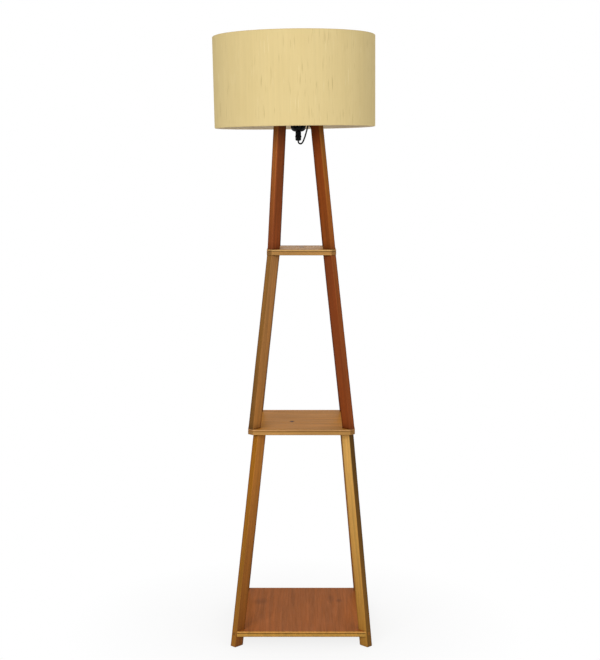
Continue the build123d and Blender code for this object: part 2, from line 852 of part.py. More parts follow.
globe_outer = globe_half(0.0)
globe_inner = globe_half(bulb_glass)
with BuildPart() as bulb_globe:
    with BuildSketch(holder_section):
        add(holder_section.to_local_coords(globe_outer))
        add(holder_section.to_local_coords(globe_inner), mode=Mode.SUBTRACT)
    revolve(axis=holder_axis)
bulb_globe.part.label = "bulb_globe"
export_step(bulb_globe.part, "parts/bulb_globe.step")

# ---- Drum shade: fabric on a stiff liner between two wire hoops, carried by a hub and arms ------
tilt = radians(drum_tilt)
drum_axis = Vector(-sin(tilt), 0, cos(tilt))
drum_across = Vector(cos(tilt), 0, sin(tilt))
drum_foot = Vector(holder_x + drum_offset_x, 0, drum_bottom_z)
drum_section = Plane(origin=drum_foot, x_dir=drum_across, z_dir=(0, -1, 0))
drum_turn = Axis(drum_foot, drum_axis)
top_r = drum_diameter / 2
bottom_r = (drum_diameter - drum_taper) / 2
wire_r = drum_wire / 2
roll_r = wire_r + hem_ease + fabric_thickness
liner_in = fabric_thickness + liner_thickness
wire_in = liner_in + hem_ease + wire_r
wall_slope = (top_r - bottom_r) / drum_height


def drum_radius(height):
    """Outer radius of the drum at a height above its lower rim."""
    return bottom_r + wall_slope * height


def wall(name, outside, inside, low, high):
    """A thin conical wall of the drum between two depths under its outer surface."""
    with BuildPart() as made:
        with BuildSketch(drum_section):
            with BuildLine():
                Polyline(
                    (drum_radius(low) - outside, low),
                    (drum_radius(high) - outside, high),
                    (drum_radius(high) - inside, high),
                    (drum_radius(low) - inside, low),
                    close=True,
                )
            make_face()
        revolve(axis=drum_turn)
    made.part.label = name
    export_step(made.part, "parts/" + name + ".step")


wall("shade_fabric", 0.0, fabric_thickness, roll_r, drum_height - roll_r)
wall("shade_liner", fabric_thickness, liner_in, roll_r, drum_height - roll_r)


def hoop(name, height):
    """A wire hoop inside one rim of the drum."""
    with BuildPart() as made:
        with BuildSketch(drum_section):
            with Locations((drum_radius(height) - wire_in, height)):
                Circle(wire_r)
        revolve(axis=drum_turn)
    made.part.label = name
    export_step(made.part, "parts/" + name + ".step")


hoop("shade_hoop_bottom", roll_r)
hoop("shade_hoop_top", drum_height - roll_r)

with BuildPart() as shade_hub:
    with BuildSketch(holder_level(plate_top)):
        Circle(hub_diameter / 2)
        Circle(skirt_r + ring_clearance, mode=Mode.SUBTRACT)
    extrude(amount=hub_thickness)
shade_hub.part.label = "shade_hub"
export_step(shade_hub.part, "parts/shade_hub.step")

arm_level = plate_top + ring_slack + arm_wire / 2
arm_set = []
snip_set = []
for number in range(arm_count):
    angle = radians(arm_first_angle + number * 360 / arm_count)
    out = Vector(cos(angle), sin(angle), 0)
    hoop_r = drum_radius(roll_r) - wire_in - wire_r + arm_weld
    end = (
        drum_foot
        + drum_across * (hoop_r * cos(angle))
        + Vector(0, hoop_r * sin(angle), 0)
        + drum_axis * roll_r
    )
    over_hub = Vector(holder_x, 0, arm_level)
    start = over_hub + out * (hub_diameter / 2 - arm_weld)
    bend = over_hub + out * arm_level_reach
    with BuildPart() as arm:
        with BuildLine() as run:
            FilletPolyline(start, bend, end, radius=arm_bend)
        with BuildSketch(Plane(origin=run.line @ 0, z_dir=run.line % 0)):
            Circle(arm_wire / 2)
        sweep()
    arm_set.append(arm.part)
    with BuildPart() as snip:
        with BuildSketch(Plane(origin=end, x_dir=out, z_dir=(0, 0, 1)).offset(-arm_wire)):
            with Locations((-roll_r, 0)):
                Rectangle(4 * roll_r, hem_snip)
        extrude(amount=2 * hem_depth)
    snip_set.append(snip.part)
with BuildPart() as shade_arms:
    for one in arm_set:
        add(one)
shade_arms.part.label = "shade_arms"
export_step(shade_arms.part, "parts/shade_arms.step")


def hem(name, height, way, snips):
    """The fabric's turned-in edge: half round the hoop, then a band up or down the inside."""
    centre = drum_radius(height) - wire_in
    outer = drum_radius(height) - centre
    inner = wire_r + hem_ease
    left = centre - inner
    with BuildPart() as made:
        with BuildSketch(drum_section):
            with BuildLine():
                ThreePointArc(
                    (centre + outer, height),
                    (centre, height - way * roll_r),
                    (left - fabric_thickness, height),
                )
                Line(
                    (left - fabric_thickness, height),
                    (left - fabric_thickness, height + way * hem_depth),
                )
                Line(
                    (left - fabric_thickness, height + way * hem_depth),
                    (left, height + way * hem_depth),
                )
                Line((left, height + way * hem_depth), (left, height))
                ThreePointArc(
                    (left, height),
                    (centre, height - way * inner),
                    (centre + inner, height),
                )
                Line((centre + inner, height), (centre + outer, height))
            make_face()
        revolve(axis=drum_turn)
        for snip in snips:
            add(snip, mode=Mode.SUBTRACT)
    made.part.label = name
    export_step(made.part, "parts/" + name + ".step")


hem("shade_hem_bottom", roll_r, 1, snip_set)
hem("shade_hem_top", drum_height - roll_r, -1, [])

# ---- Flex: folded up under its grip, over behind the plate, down a leg, a coil and the plug ----
def tube(name, points):
    """A round flex through the points with tangent arcs at its bends; prints its measures."""
    radii = []
    for number in range(1, len(points) - 1):
        before = points[number] - points[number - 1]
        after = points[number + 1] - points[number]
        half_turn = radians(before.get_angle(after)) / 2
        radii.append(0.45 * min(before.length, after.length) / tan(half_turn))
    with BuildPart() as made:
        with BuildLine() as run:
            FilletPolyline(*points, radius=radii)
        with BuildSketch(Plane(origin=run.line @ 0, z_dir=run.line % 0)):
            Circle(cord_diameter / 2)
        sweep()
    length = sum(edge.length for edge in run.edges())
    full = pi * cord_diameter**2 / 4 * length
    print(name, "length", round(length, 1), "volume ratio", round(made.part.volume / full, 4))
    print(name, "radii", [round(radius, 1) for radius in radii])
    made.part.label = name
    export_step(made.part, "parts/" + name + ".step")


# Out of the grip, folded up beside it, over the ring and round the leg's inner corner, straight
# down the three legs, and bent on the floor to the coil's front.
lead_points = [
    (holder_x, 0.0, grip_low),
    (6.0, 0.0, 1256.6),
    (10.0, 0.5, 1253.3),
    (15.1, 1.3, 1254.2),
    (19.2, 3.5, 1261.7),
    (23.4, 7.8, 1272.7),
    (27.0, 13.7, 1286.3),
    (30.4, 21.0, 1298.2),
    (31.5, 31.4, 1303.8),
    (32.5, 43.4, 1303.8),
    (39.0, 52.5, 1295.8),
    (46.6, 55.4, 1281.0),
    (74.7, 76.4, 1004.0),
    (78.2, 79.6, 966.0),
    (122.6, 124.0, 559.0),
    (122.5, 123.9, 521.0),
    (167.3, 168.7, 15.2),
    (155.0, 174.0, 2.05),
    (132.2, 182.4, 2.05),
    (109.8, 182.0, 2.05),
]
tube("cord_lead", [Vector(*point) for point in lead_points])

with BuildPart() as cord_coil:
    with BuildSketch(Plane(origin=(coil_x, coil_y, 0), x_dir=(1, 0, 0), z_dir=(0, -1, 0))):
        with Locations((coil_mean_diameter / 2, cord_floor_gap + coil_height / 2)):
            RectangleRounded(coil_width, coil_height, coil_round)
    revolve(axis=Axis((coil_x, coil_y, 0), (0, 0, 1)))
cord_coil.part.label = "cord_coil"
export_step(cord_coil.part, "parts/cord_coil.step")

plug_dir = Vector(cos(radians(plug_turn)), sin(radians(plug_turn)), 0)
plug_mid_z = plug_thickness / 2 + cord_floor_gap
cord_in_plug = Vector(plug_x, plug_y, plug_mid_z)

# Off the coil's top layer, down to the floor and up to the middle of the plug's strain relief.
tail_points = [
    (98.2, 182.0, 9.0),
    (80.2, 182.4, 7.6),
    (57.9, 194.5, 3.2),
    (43.2, 197.5, plug_mid_z),
    (plug_x, plug_y, plug_mid_z),
]
tube("cord_tail", [Vector(*point) for point in tail_points])

relief_start = Plane(origin=cord_in_plug, z_dir=plug_dir)
body_start = relief_start.offset(relief_length)
plug_flat = Plane(
    origin=cord_in_plug + plug_dir * relief_length, x_dir=plug_dir, z_dir=(0, 0, 1)
)
with BuildPart() as plug_body:
    with BuildSketch(plug_flat):
        with BuildLine():
            Polyline(
                (0, -plug_nose / 2),
                (plug_length * 0.5, -plug_width / 2),
                (plug_length, -plug_width / 2),
                (plug_length, plug_width / 2),
                (plug_length * 0.5, plug_width / 2),
                (0, plug_nose / 2),
                close=True,
            )
        make_face()
    extrude(amount=plug_thickness / 2, both=True)
    fillet(plug_body.edges(), radius=plug_round)
    with BuildSketch(relief_start):
        Circle(relief_end_diameter / 2)
    with BuildSketch(body_start.offset(plug_round)):
        Circle(relief_diameter / 2)
    loft(ruled=True)
plug_body.part.label = "plug_body"
export_step(plug_body.part, "parts/plug_body.step")

with BuildPart() as plug_pins:
    with BuildSketch(relief_start.offset(relief_length + plug_length)):
        with GridLocations(pin_spacing, pin_spacing, 2, 1):
            Circle(pin_diameter / 2)
    extrude(amount=pin_length)
    fillet(plug_pins.faces().sort_by(Axis(cord_in_plug, plug_dir))[-2:].edges(), radius=pin_end_round)
plug_pins.part.label = "plug_pins"
export_step(plug_pins.part, "parts/plug_pins.step")
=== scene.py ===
from math import cos, pi, radians, sin

import bpy
import numpy as np
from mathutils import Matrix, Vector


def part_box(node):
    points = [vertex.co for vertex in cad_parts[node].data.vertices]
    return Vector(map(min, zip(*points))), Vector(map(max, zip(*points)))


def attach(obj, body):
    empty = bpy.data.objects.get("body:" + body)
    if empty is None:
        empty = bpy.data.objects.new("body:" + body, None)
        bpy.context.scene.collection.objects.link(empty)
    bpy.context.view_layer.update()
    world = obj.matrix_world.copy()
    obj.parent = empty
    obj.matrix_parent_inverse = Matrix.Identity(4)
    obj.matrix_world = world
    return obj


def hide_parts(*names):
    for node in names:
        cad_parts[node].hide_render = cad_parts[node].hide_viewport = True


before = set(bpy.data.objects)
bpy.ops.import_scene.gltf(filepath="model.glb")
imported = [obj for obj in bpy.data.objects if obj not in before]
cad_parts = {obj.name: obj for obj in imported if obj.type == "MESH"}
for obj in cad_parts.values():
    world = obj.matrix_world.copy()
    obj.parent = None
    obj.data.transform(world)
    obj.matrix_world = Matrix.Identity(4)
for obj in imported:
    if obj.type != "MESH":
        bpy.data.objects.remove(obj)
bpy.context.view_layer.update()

# ---- Camera --------------------------------------------------------------------------------
# A camera 3.4 m in front, looking 7 degrees down, which puts the shelves' corners, the feet and
# the shade's rims where the photograph has them.
bpy.context.scene.view_settings.view_transform = "Standard"
camera_data = bpy.data.cameras.new("camera")
camera_data.sensor_fit = "HORIZONTAL"
camera_data.sensor_width = 36.0
camera_data.lens = 80.46
camera_data.clip_end = 60.0
camera = bpy.data.objects.new("camera", camera_data)
camera.location = (0.0103, -3.4134, 1.2158)
camera.rotation_euler = (radians(90 - 7.271), 0, 0)
bpy.context.scene.collection.objects.link(camera)
bpy.context.scene.camera = camera


# ---- Flex ----------------------------------------------------------------------------------
# Round black PVC flex, 4 mm thick and about 3 m long: folded up tight under its grip, over
# the ring, down the back right legs under clips, and the spare length wound in a neat coil.
def link(name, data):
    """Puts new data into the scene as an object at the origin."""
    piece = bpy.data.objects.new(name, data)
    bpy.context.scene.collection.objects.link(piece)
    return piece


flex_diameter = 0.004
flex_route = [
    (0.0060, 0.0000, 1.2612),
    (0.0060, 0.0000, 1.2566),
    (0.0100, 0.0005, 1.2533),
    (0.0151, 0.0013, 1.2542),
    (0.0192, 0.0035, 1.2617),
    (0.0234, 0.0078, 1.2727),
    (0.0270, 0.0137, 1.2863),
    (0.0304, 0.0210, 1.2982),
    (0.0315, 0.0314, 1.3038),
    (0.0325, 0.0434, 1.3038),
    (0.0390, 0.0525, 1.2958),
    (0.0466, 0.0554, 1.2810),
    (0.0747, 0.0764, 1.0040),
    (0.0782, 0.0796, 0.9660),
    (0.1226, 0.1240, 0.5590),
    (0.1225, 0.1239, 0.5210),
    (0.1673, 0.1687, 0.0152),
    (0.1550, 0.1740, 0.00205),
    (0.1322, 0.1824, 0.00205),
    (0.1098, 0.1820, 0.00205),
]
tail_route = [
    (0.0982, 0.1820, 0.0090),
    (0.0802, 0.1824, 0.0076),
    (0.0579, 0.1945, 0.0032),
    (0.0432, 0.1975, 0.00685),
    (0.0360, 0.1980, 0.00685),
]
coil_middle = (0.104, 0.210)
# Each turn's radius and height: four on the floor inward, four above them outward, two on top.
coil_turns = [
    (0.0280, 0.00205),
    (0.0240, 0.00205),
    (0.0200, 0.00205),
    (0.0160, 0.00205),
    (0.0160, 0.00605),
    (0.0200, 0.00605),
    (0.0240, 0.00605),
    (0.0280, 0.00605),
    (0.0240, 0.01000),
    (0.0280, 0.01000),
]
points_per_turn = 16
# Where the coil begins, in degrees round its middle, and how much of its first and last turn
# the lead and the tail take up; each turn eases into the next over its last part.
coil_bearing = -78.3
coil_begin = 0.06
coil_left_off = 0.1
ease_from = 0.66
# The control points stand out a little, so that the spline's own turns have the radii above.
turn_trim = 0.995
control_reach = 2.0 / (1.0 + cos(2 * pi / points_per_turn)) * turn_trim


def coil_route():
    """Turns one after another, clockwise: each eases into the next over its last third."""
    turn = np.arange(coil_begin, len(coil_turns) - coil_left_off, 1.0 / points_per_turn)
    ring, within = np.divmod(turn, 1.0)
    ease = np.clip((within - ease_from) / (1.0 - ease_from), 0.0, 1.0)
    ease = ease * ease * (3 - 2 * ease)
    stations = np.array(coil_turns + coil_turns[-1:])
    ring = ring.astype(int)
    radius, height = (stations[ring] + (stations[ring + 1] - stations[ring]) * ease[:, None]).T
    angle = radians(coil_bearing) - 2 * pi * turn
    x = coil_middle[0] + radius * control_reach * np.cos(angle)
    y = coil_middle[1] + radius * control_reach * np.sin(angle)
    return np.stack([x, y, height], axis=1)


flex_points = np.concatenate([np.array(flex_route), coil_route(), np.array(tail_route)])
flex_curve = bpy.data.curves.new("flex", "CURVE")
flex_curve.dimensions = "3D"
flex_curve.bevel_depth = 1.0
flex_curve.bevel_resolution = 3
flex_curve.resolution_u = 6
flex_curve.use_fill_caps = True
flex_spline = flex_curve.splines.new("NURBS")
flex_spline.points.add(len(flex_points) - 1)
with_weight = np.concatenate([flex_points, np.ones((len(flex_points), 1))], axis=1)
flex_spline.points.foreach_set("co", with_weight.ravel())
flex_spline.points.foreach_set("radius", np.full(len(flex_points), flex_diameter / 2))
flex_spline.order_u = 3
flex_spline.use_endpoint_u = True
flex = link("flex", flex_curve)
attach(flex, "stand")
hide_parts("cord_lead", "cord_coil", "cord_tail")


def linear(hex_colour):
    """An sRGB hex colour as linear RGBA, by the standard sRGB curve."""
    parts = np.array([int(hex_colour[i : i + 2], 16) / 255 for i in (1, 3, 5)])
    curved = np.where(parts <= 0.04045, parts / 12.92, ((parts + 0.055) / 1.055) ** 2.4)
    return (*[float(value) for value in curved], 1.0)


def add_node(tree, kind, sockets=None, **settings):
    """Adds a node with its settings; sockets maps an input to a value or to another's output."""
    made = tree.nodes.new(kind)
    for name, value in settings.items():
        setattr(made, name, value)
    for name, value in (sockets or {}).items():
        if isinstance(value, bpy.types.NodeSocket):
            tree.links.new(value, made.inputs[name])
        else:
            made.inputs[name].default_value = value
    return made


def new_material(name):
    """An empty node material, and its tree."""
    material = bpy.data.materials.new(name)
    material.use_nodes = True
    material.node_tree.nodes.clear()
    return material, material.node_tree


# How deep the full strength of a relief would be, in metres.
relief_depth = 0.0002


def patchy_finish(name, patch, hues, gloss, sockets, relief=None, spread=(0.0, 1.0)):
    """A finish that changes in soft patches of noise, with a fine relief where it has one.

    patch is (size in mm, detail), and relief the same with its bump's strength. The noise mixes
    two hues over its spread, and goes from one gloss to the other between 0.3 and 0.7. One hue
    or one gloss alone is the same all over. sockets go to the shader as they are.
    """
    material, tree = new_material(name)
    place = add_node(tree, "ShaderNodeTexCoord").outputs["Object"]
    fields = []
    for size_mm, detail in [patch] + ([relief[:2]] if relief else []):
        sizes = {"Vector": place, "Scale": 1000 / size_mm, "Detail": detail}
        fields.append(add_node(tree, "ShaderNodeTexNoise", sizes).outputs["Fac"])
    sockets = {"Base Color": linear(hues[0]), "Roughness": gloss[0], **sockets}
    if len(hues) == 2:
        low, high = spread
        share = add_node(
            tree, "ShaderNodeMapRange", {0: fields[0], 1: low, 2: high, 3: 0.0, 4: 1.0}
        ).outputs[0]
        ends = {0: share, 6: linear(hues[0]), 7: linear(hues[1])}
        sockets["Base Color"] = add_node(
            tree, "ShaderNodeMix", ends, data_type="RGBA"
        ).outputs[2]
    if len(gloss) == 2:
        sockets["Roughness"] = add_node(
            tree, "ShaderNodeMapRange", {0: fields[0], 1: 0.3, 2: 0.7, 3: gloss[0], 4: gloss[1]}
        ).outputs[0]
    if relief:
        sockets["Normal"] = add_node(
            tree,
            "ShaderNodeBump",
            {"Height": fields[1], "Strength": relief[2], "Distance": relief_depth},
        ).outputs[0]
    shader = add_node(tree, "ShaderNodeBsdfPrincipled", sockets)
    add_node(tree, "ShaderNodeOutputMaterial", {0: shader.outputs[0]})
    return material


# Extruded PVC: near black, satin, with faint drag marks of the die and some dust.
pvc_flex = patchy_finish(
    "extruded_pvc_flex",
    patch=(9, 3.0),
    hues=("#050506", "#0D0D0E"),
    gloss=(0.36, 0.52),
    sockets={"IOR": 1.52, "Specular IOR Level": 0.06},
    relief=(0.7, 2.0, 0.12),
    spread=(0.45, 0.75),
)
flex_curve.materials.append(pvc_flex)


# ---- Plug ----------------------------------------------------------------------------------
# A moulded black two-pin plug, rounded all over, with a ribbed, tapered strain relief moulded
# on the flex and two bright pins with insulated roots.
plug_foot = np.array([0.0360, 0.1980, 0.00685])
plug_turn = radians(176)
plug_along = np.array([cos(plug_turn), sin(plug_turn), 0.0])
plug_across = np.array([-sin(plug_turn), cos(plug_turn), 0.0])


def face_outward(mesh):
    """Turns a closed mesh's faces outward: its volume by the divergence rule is made positive."""
    mesh.calc_loop_triangles()
    points = np.empty(len(mesh.vertices) * 3)
    mesh.vertices.foreach_get("co", points)
    corners = np.empty(len(mesh.loop_triangles) * 3, dtype=np.int32)
    mesh.loop_triangles.foreach_get("vertices", corners)
    a, b, c = points.reshape(-1, 3)[corners.reshape(-1, 3)].transpose(1, 0, 2)
    if np.einsum("ij,ij->", a, np.cross(b, c)) < 0:
        mesh.flip_normals()
    mesh.update()


def make_surface(name, grid, looped=False):
    """A closed mesh over a grid of points (rings, points, 3), each ring joined to the next.

    Each ring closes on itself. With looped the last ring joins the first; otherwise a point at
    the middle of each end ring closes it.
    """
    rings, count = grid.shape[:2]
    points = grid.reshape(-1, 3)
    ring = np.arange(rings if looped else rings - 1)[:, None] * count
    ahead = (ring + count) % (rings * count)
    step = np.arange(count)[None, :]
    after = (step + 1) % count
    faces = np.stack([ring + step, ring + after, ahead + after, ahead + step], axis=-1)
    face_list = faces.reshape(-1, 4).tolist()
    if not looped:
        points = np.concatenate([points, grid[[0, -1]].mean(axis=1)])
        last = (rings - 1) * count
        foot = np.full_like(step, rings * count)
        face_list += np.stack([after, step, foot], axis=-1)[0].tolist()
        face_list += np.stack([last + step, last + after, foot + 1], axis=-1)[0].tolist()
    mesh = bpy.data.meshes.new(name)
    mesh.from_pydata(points.tolist(), [], face_list)
    mesh.update()
    mesh.polygons.foreach_set("use_smooth", np.ones(len(mesh.polygons), dtype=bool))
    face_outward(mesh)
    return mesh


relief_length = 0.020
relief_radii = (0.0028, 0.0040)
rib_count = 6
rib_depth = 0.0004
# The grooves between the ribs lie where a cosine along the relief is below this.
groove_level = 0.2
# Along the body from the relief's end: its length so far, half width and half height.
body_along = np.array([0.0, 0.6, 2.0, 5.0, 10.0, 16.0, 24.0, 31.5, 33.3, 34.0]) / 1000
body_wide = np.array([5.0, 7.2, 8.2, 10.2, 13.4, 16.4, 17.0, 17.0, 16.2, 14.6]) / 1000
body_high = np.array([4.2, 5.6, 6.3, 6.7, 6.8, 6.8, 6.8, 6.8, 6.2, 5.0]) / 1000
body_squareness = 3.6


def plug_surface(count=48):
    """Superellipses |x/a|^n + |z/b|^n = 1 along the plug: a round, ribbed cone, squarer after."""
    relief = np.linspace(0.0, relief_length, 41)
    along_ribs = 2 * pi * rib_count * relief / relief_length
    rib = rib_depth * (np.cos(along_ribs) < groove_level)
    first, last = relief_radii
    relief_r = first + (last - first) * relief / relief_length - rib
    along = np.concatenate([relief, relief_length + body_along])[:, None, None]
    wide = np.concatenate([relief_r, body_wide])[:, None]
    high = np.concatenate([relief_r, body_high])[:, None]
    power = 2 / np.repeat([2.0, body_squareness], [len(relief), len(body_along)])[:, None]
    turn = np.linspace(0, 2 * pi, count, endpoint=False)
    across = wide * np.sign(np.cos(turn)) * np.abs(np.cos(turn)) ** power
    up = high * np.sign(np.sin(turn)) * np.abs(np.sin(turn)) ** power
    flat = across[..., None] * plug_across + up[..., None] * np.array([0, 0, 1.0])
    return plug_foot + along * plug_along + flat


plug = link("plug", make_surface("plug", plug_surface()))
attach(plug, "stand")
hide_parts("plug_body")

# Moulded PVC: black, satin, with the fine even spark-eroded grain of the mould.
moulded_pvc = patchy_finish(
    "moulded_pvc",
    patch=(12, 3.0),
    hues=("#141416", "#222225"),
    gloss=(0.42, 0.56),
    sockets={"IOR": 1.53},
    relief=(0.6, 2.0, 0.2),
)
plug.data.materials.append(moulded_pvc)


def dress(finish, *names):
    """Gives CAD nodes their finish."""
    for name in names:
        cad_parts[name].material_slots[0].material = finish


# Nickel-plated brass pins: bright, with fine draw marks.
plated_pin = patchy_finish(
    "nickel_plated_pin",
    patch=(0.9, 3.0),
    hues=("#CFCBC2",),
    gloss=(0.16, 0.3),
    sockets={"Metallic": 1.0},
)
dress(plated_pin, "plug_pins")

# ---- Floor and light -----------------------------------------------------------------------
# A plain white floor and plain soft light, a little stronger from the front left, as in the
# photograph, with a pale surround for the camera and for what reflects or lets light through.
floor_reach = 14
floor_corners = np.array([(-1, -1, 0), (1, -1, 0), (1, 1, 0), (-1, 1, 0)]) * floor_reach
floor_mesh = bpy.data.meshes.new("floor")
floor_mesh.from_pydata(floor_corners.tolist(), [], [(0, 1, 2, 3)])
floor = link("floor", floor_mesh)
# Up to the first distance from the middle the floor is less white, so that the shadow shows,
# and past the second it is all white, as a seamless paper backdrop is.
shadow_near, shadow_far = 0.2, 0.6
shadow_white = 0.84
floor_paint, tree = new_material("white_floor")
paths = add_node(tree, "ShaderNodeLightPath")
seen = add_node(
    tree,
    "ShaderNodeMath",
    {0: paths.outputs["Is Camera Ray"], 1: paths.outputs["Is Glossy Ray"]},
    operation="MAXIMUM",
).outputs[0]
seen = add_node(
    tree,
    "ShaderNodeMath",
    {0: seen, 1: paths.outputs["Is Transmission Ray"]},
    operation="MAXIMUM",
).outputs[0]
place = add_node(tree, "ShaderNodeTexCoord").outputs["Object"]
away = add_node(
    tree, "ShaderNodeVectorMath", {0: place}, operation="LENGTH"
).outputs["Value"]
share = add_node(
    tree,
    "ShaderNodeMapRange",
    {0: away, 1: shadow_near, 2: shadow_far, 3: shadow_white, 4: 1.0},
).outputs[0]
share = add_node(tree, "ShaderNodeMath", {0: seen, 1: share}, operation="MULTIPLY").outputs[0]
matt = add_node(tree, "ShaderNodeBsdfDiffuse", {"Color": (0.9, 0.9, 0.9, 1)}).outputs[0]
white = add_node(tree, "ShaderNodeEmission", {"Color": (1, 1, 1, 1), "Strength": 1.0}).outputs[0]
mixed = add_node(tree, "ShaderNodeMixShader", {0: share, 1: matt, 2: white}).outputs[0]
add_node(tree, "ShaderNodeOutputMaterial", {0: mixed})
floor_mesh.materials.append(floor_paint)

world = bpy.data.worlds.new("surround")
bpy.context.scene.world = world
world.use_nodes = True
tree = world.node_tree
tree.nodes.clear()
paths = add_node(tree, "ShaderNodeLightPath")
seen = add_node(
    tree,
    "ShaderNodeMath",
    {0: paths.outputs["Is Camera Ray"], 1: paths.outputs["Is Transmission Ray"]},
    operation="MAXIMUM",
).outputs[0]
mirrored = add_node(
    tree, "ShaderNodeMapRange", {0: paths.outputs["Is Glossy Ray"], 1: 0, 2: 1, 3: 0.5, 4: 0.15}
).outputs[0]
level = add_node(
    tree, "ShaderNodeMapRange", {0: seen, 1: 0.0, 2: 1.0, 3: mirrored, 4: 1.0}
).outputs[0]
sky = add_node(tree, "ShaderNodeBackground", {"Color": (1, 1, 1, 1), "Strength": level})
add_node(tree, "ShaderNodeOutputWorld", {0: sky.outputs[0]})


def soft_lamp(name, place, aim, size, watts):
    """A square area lamp at a place, turned to face its aim; size in metres."""
    data = bpy.data.lights.new(name, "AREA")
    data.shape = "SQUARE"
    data.size = size
    data.energy = watts
    lamp = link(name, data)
    lamp.location = place
    way = np.array(aim) - np.array(place)
    flat = (way[0] ** 2 + way[1] ** 2) ** 0.5
    lamp.rotation_euler = (np.arctan2(flat, -way[2]), 0, np.arctan2(-way[0], way[1]))


soft_lamp("key", (-1.6, -3.4, 2.2), (0, 0, 0.8), 1.8, 62)
soft_lamp("fill", (2.6, -2.6, 1.4), (0, 0, 0.7), 2.2, 26)
soft_lamp("back", (0.6, 3.0, 2.6), (0, 0, 0.9), 2.4, 26)


# ---- Legs ----------------------------------------------------------------------------------
# Square-sawn hardwood battens, planed, set on the diagonal, their arrises eased by hand with
# abrasive paper, then stained and oiled. No two are quite one colour.
leg_depth = 0.028
leg_width = 0.017
leg_arris = 0.0015
leg_extent = (leg_depth + leg_width) / (2 * 2**0.5) - leg_arris * (2**0.5 - 1)
foot_ease = 0.0012
# How far from an arris its wear, its dark line and its painted highlight reach, the share that is
# worn off there, how far a batten bows, and how far the tones of two faces run into each other.
arris_reach = 0.0028
arris_wear = 0.018
batten_bow = 0.00012
tone_blend = 0.002
# How bright the painted highlight is along a left leg's outer arris on its side to the front or
# back, by tier, where the rounded arris catches the light.
arris_highlight = {"upper": 0.7, "middle": 0.1, "lower": 0.3}
# Painted shade by strength and reach: the drum's shadow painted down from the shade, and corner
# shade painted up from the shelf a leg stands on.
drum_shadow_paint = (0.5, 0.042)
foot_shade_paint = (0.3, 0.012)


def batten_outline():
    """A rectangle with rounded corners, as points (n, 2): sides of 9 and 7 points, arcs of 4."""
    wide = leg_depth / 2 - leg_arris
    slim = leg_width / 2 - leg_arris
    long_side = np.linspace(wide, -wide, 9)
    short_side = np.linspace(slim, -slim, 7)
    bend = np.linspace(0, pi / 2, 6)[1:-1]
    parts = []
    for quarter, (x, y) in enumerate(((wide, slim), (-wide, slim), (-wide, -slim), (wide, -slim))):
        turn = quarter * pi / 2 + bend
        parts.append(np.stack([x + leg_arris * np.cos(turn), y + leg_arris * np.sin(turn)], 1))
        sign = 1 if quarter < 2 else -1
        if quarter % 2 == 0:
            side = np.stack([sign * long_side, np.full(9, sign * leg_width / 2)], 1)
        else:
            side = np.stack([np.full(7, -sign * leg_depth / 2), sign * short_side], 1)
        parts.append(side)
    return np.concatenate(parts)


def ripple(x, seed, waves=5):
    """A smooth line that wanders: sines of fixed random starts and lengths from 3 to 35 cm."""
    dice = np.random.default_rng(seed)
    lengths = dice.uniform(0.03, 0.35, waves)
    starts = dice.uniform(0, 2 * pi, waves)
    return sum(np.sin(2 * pi * x / l + s) for l, s in zip(lengths, starts)) / waves


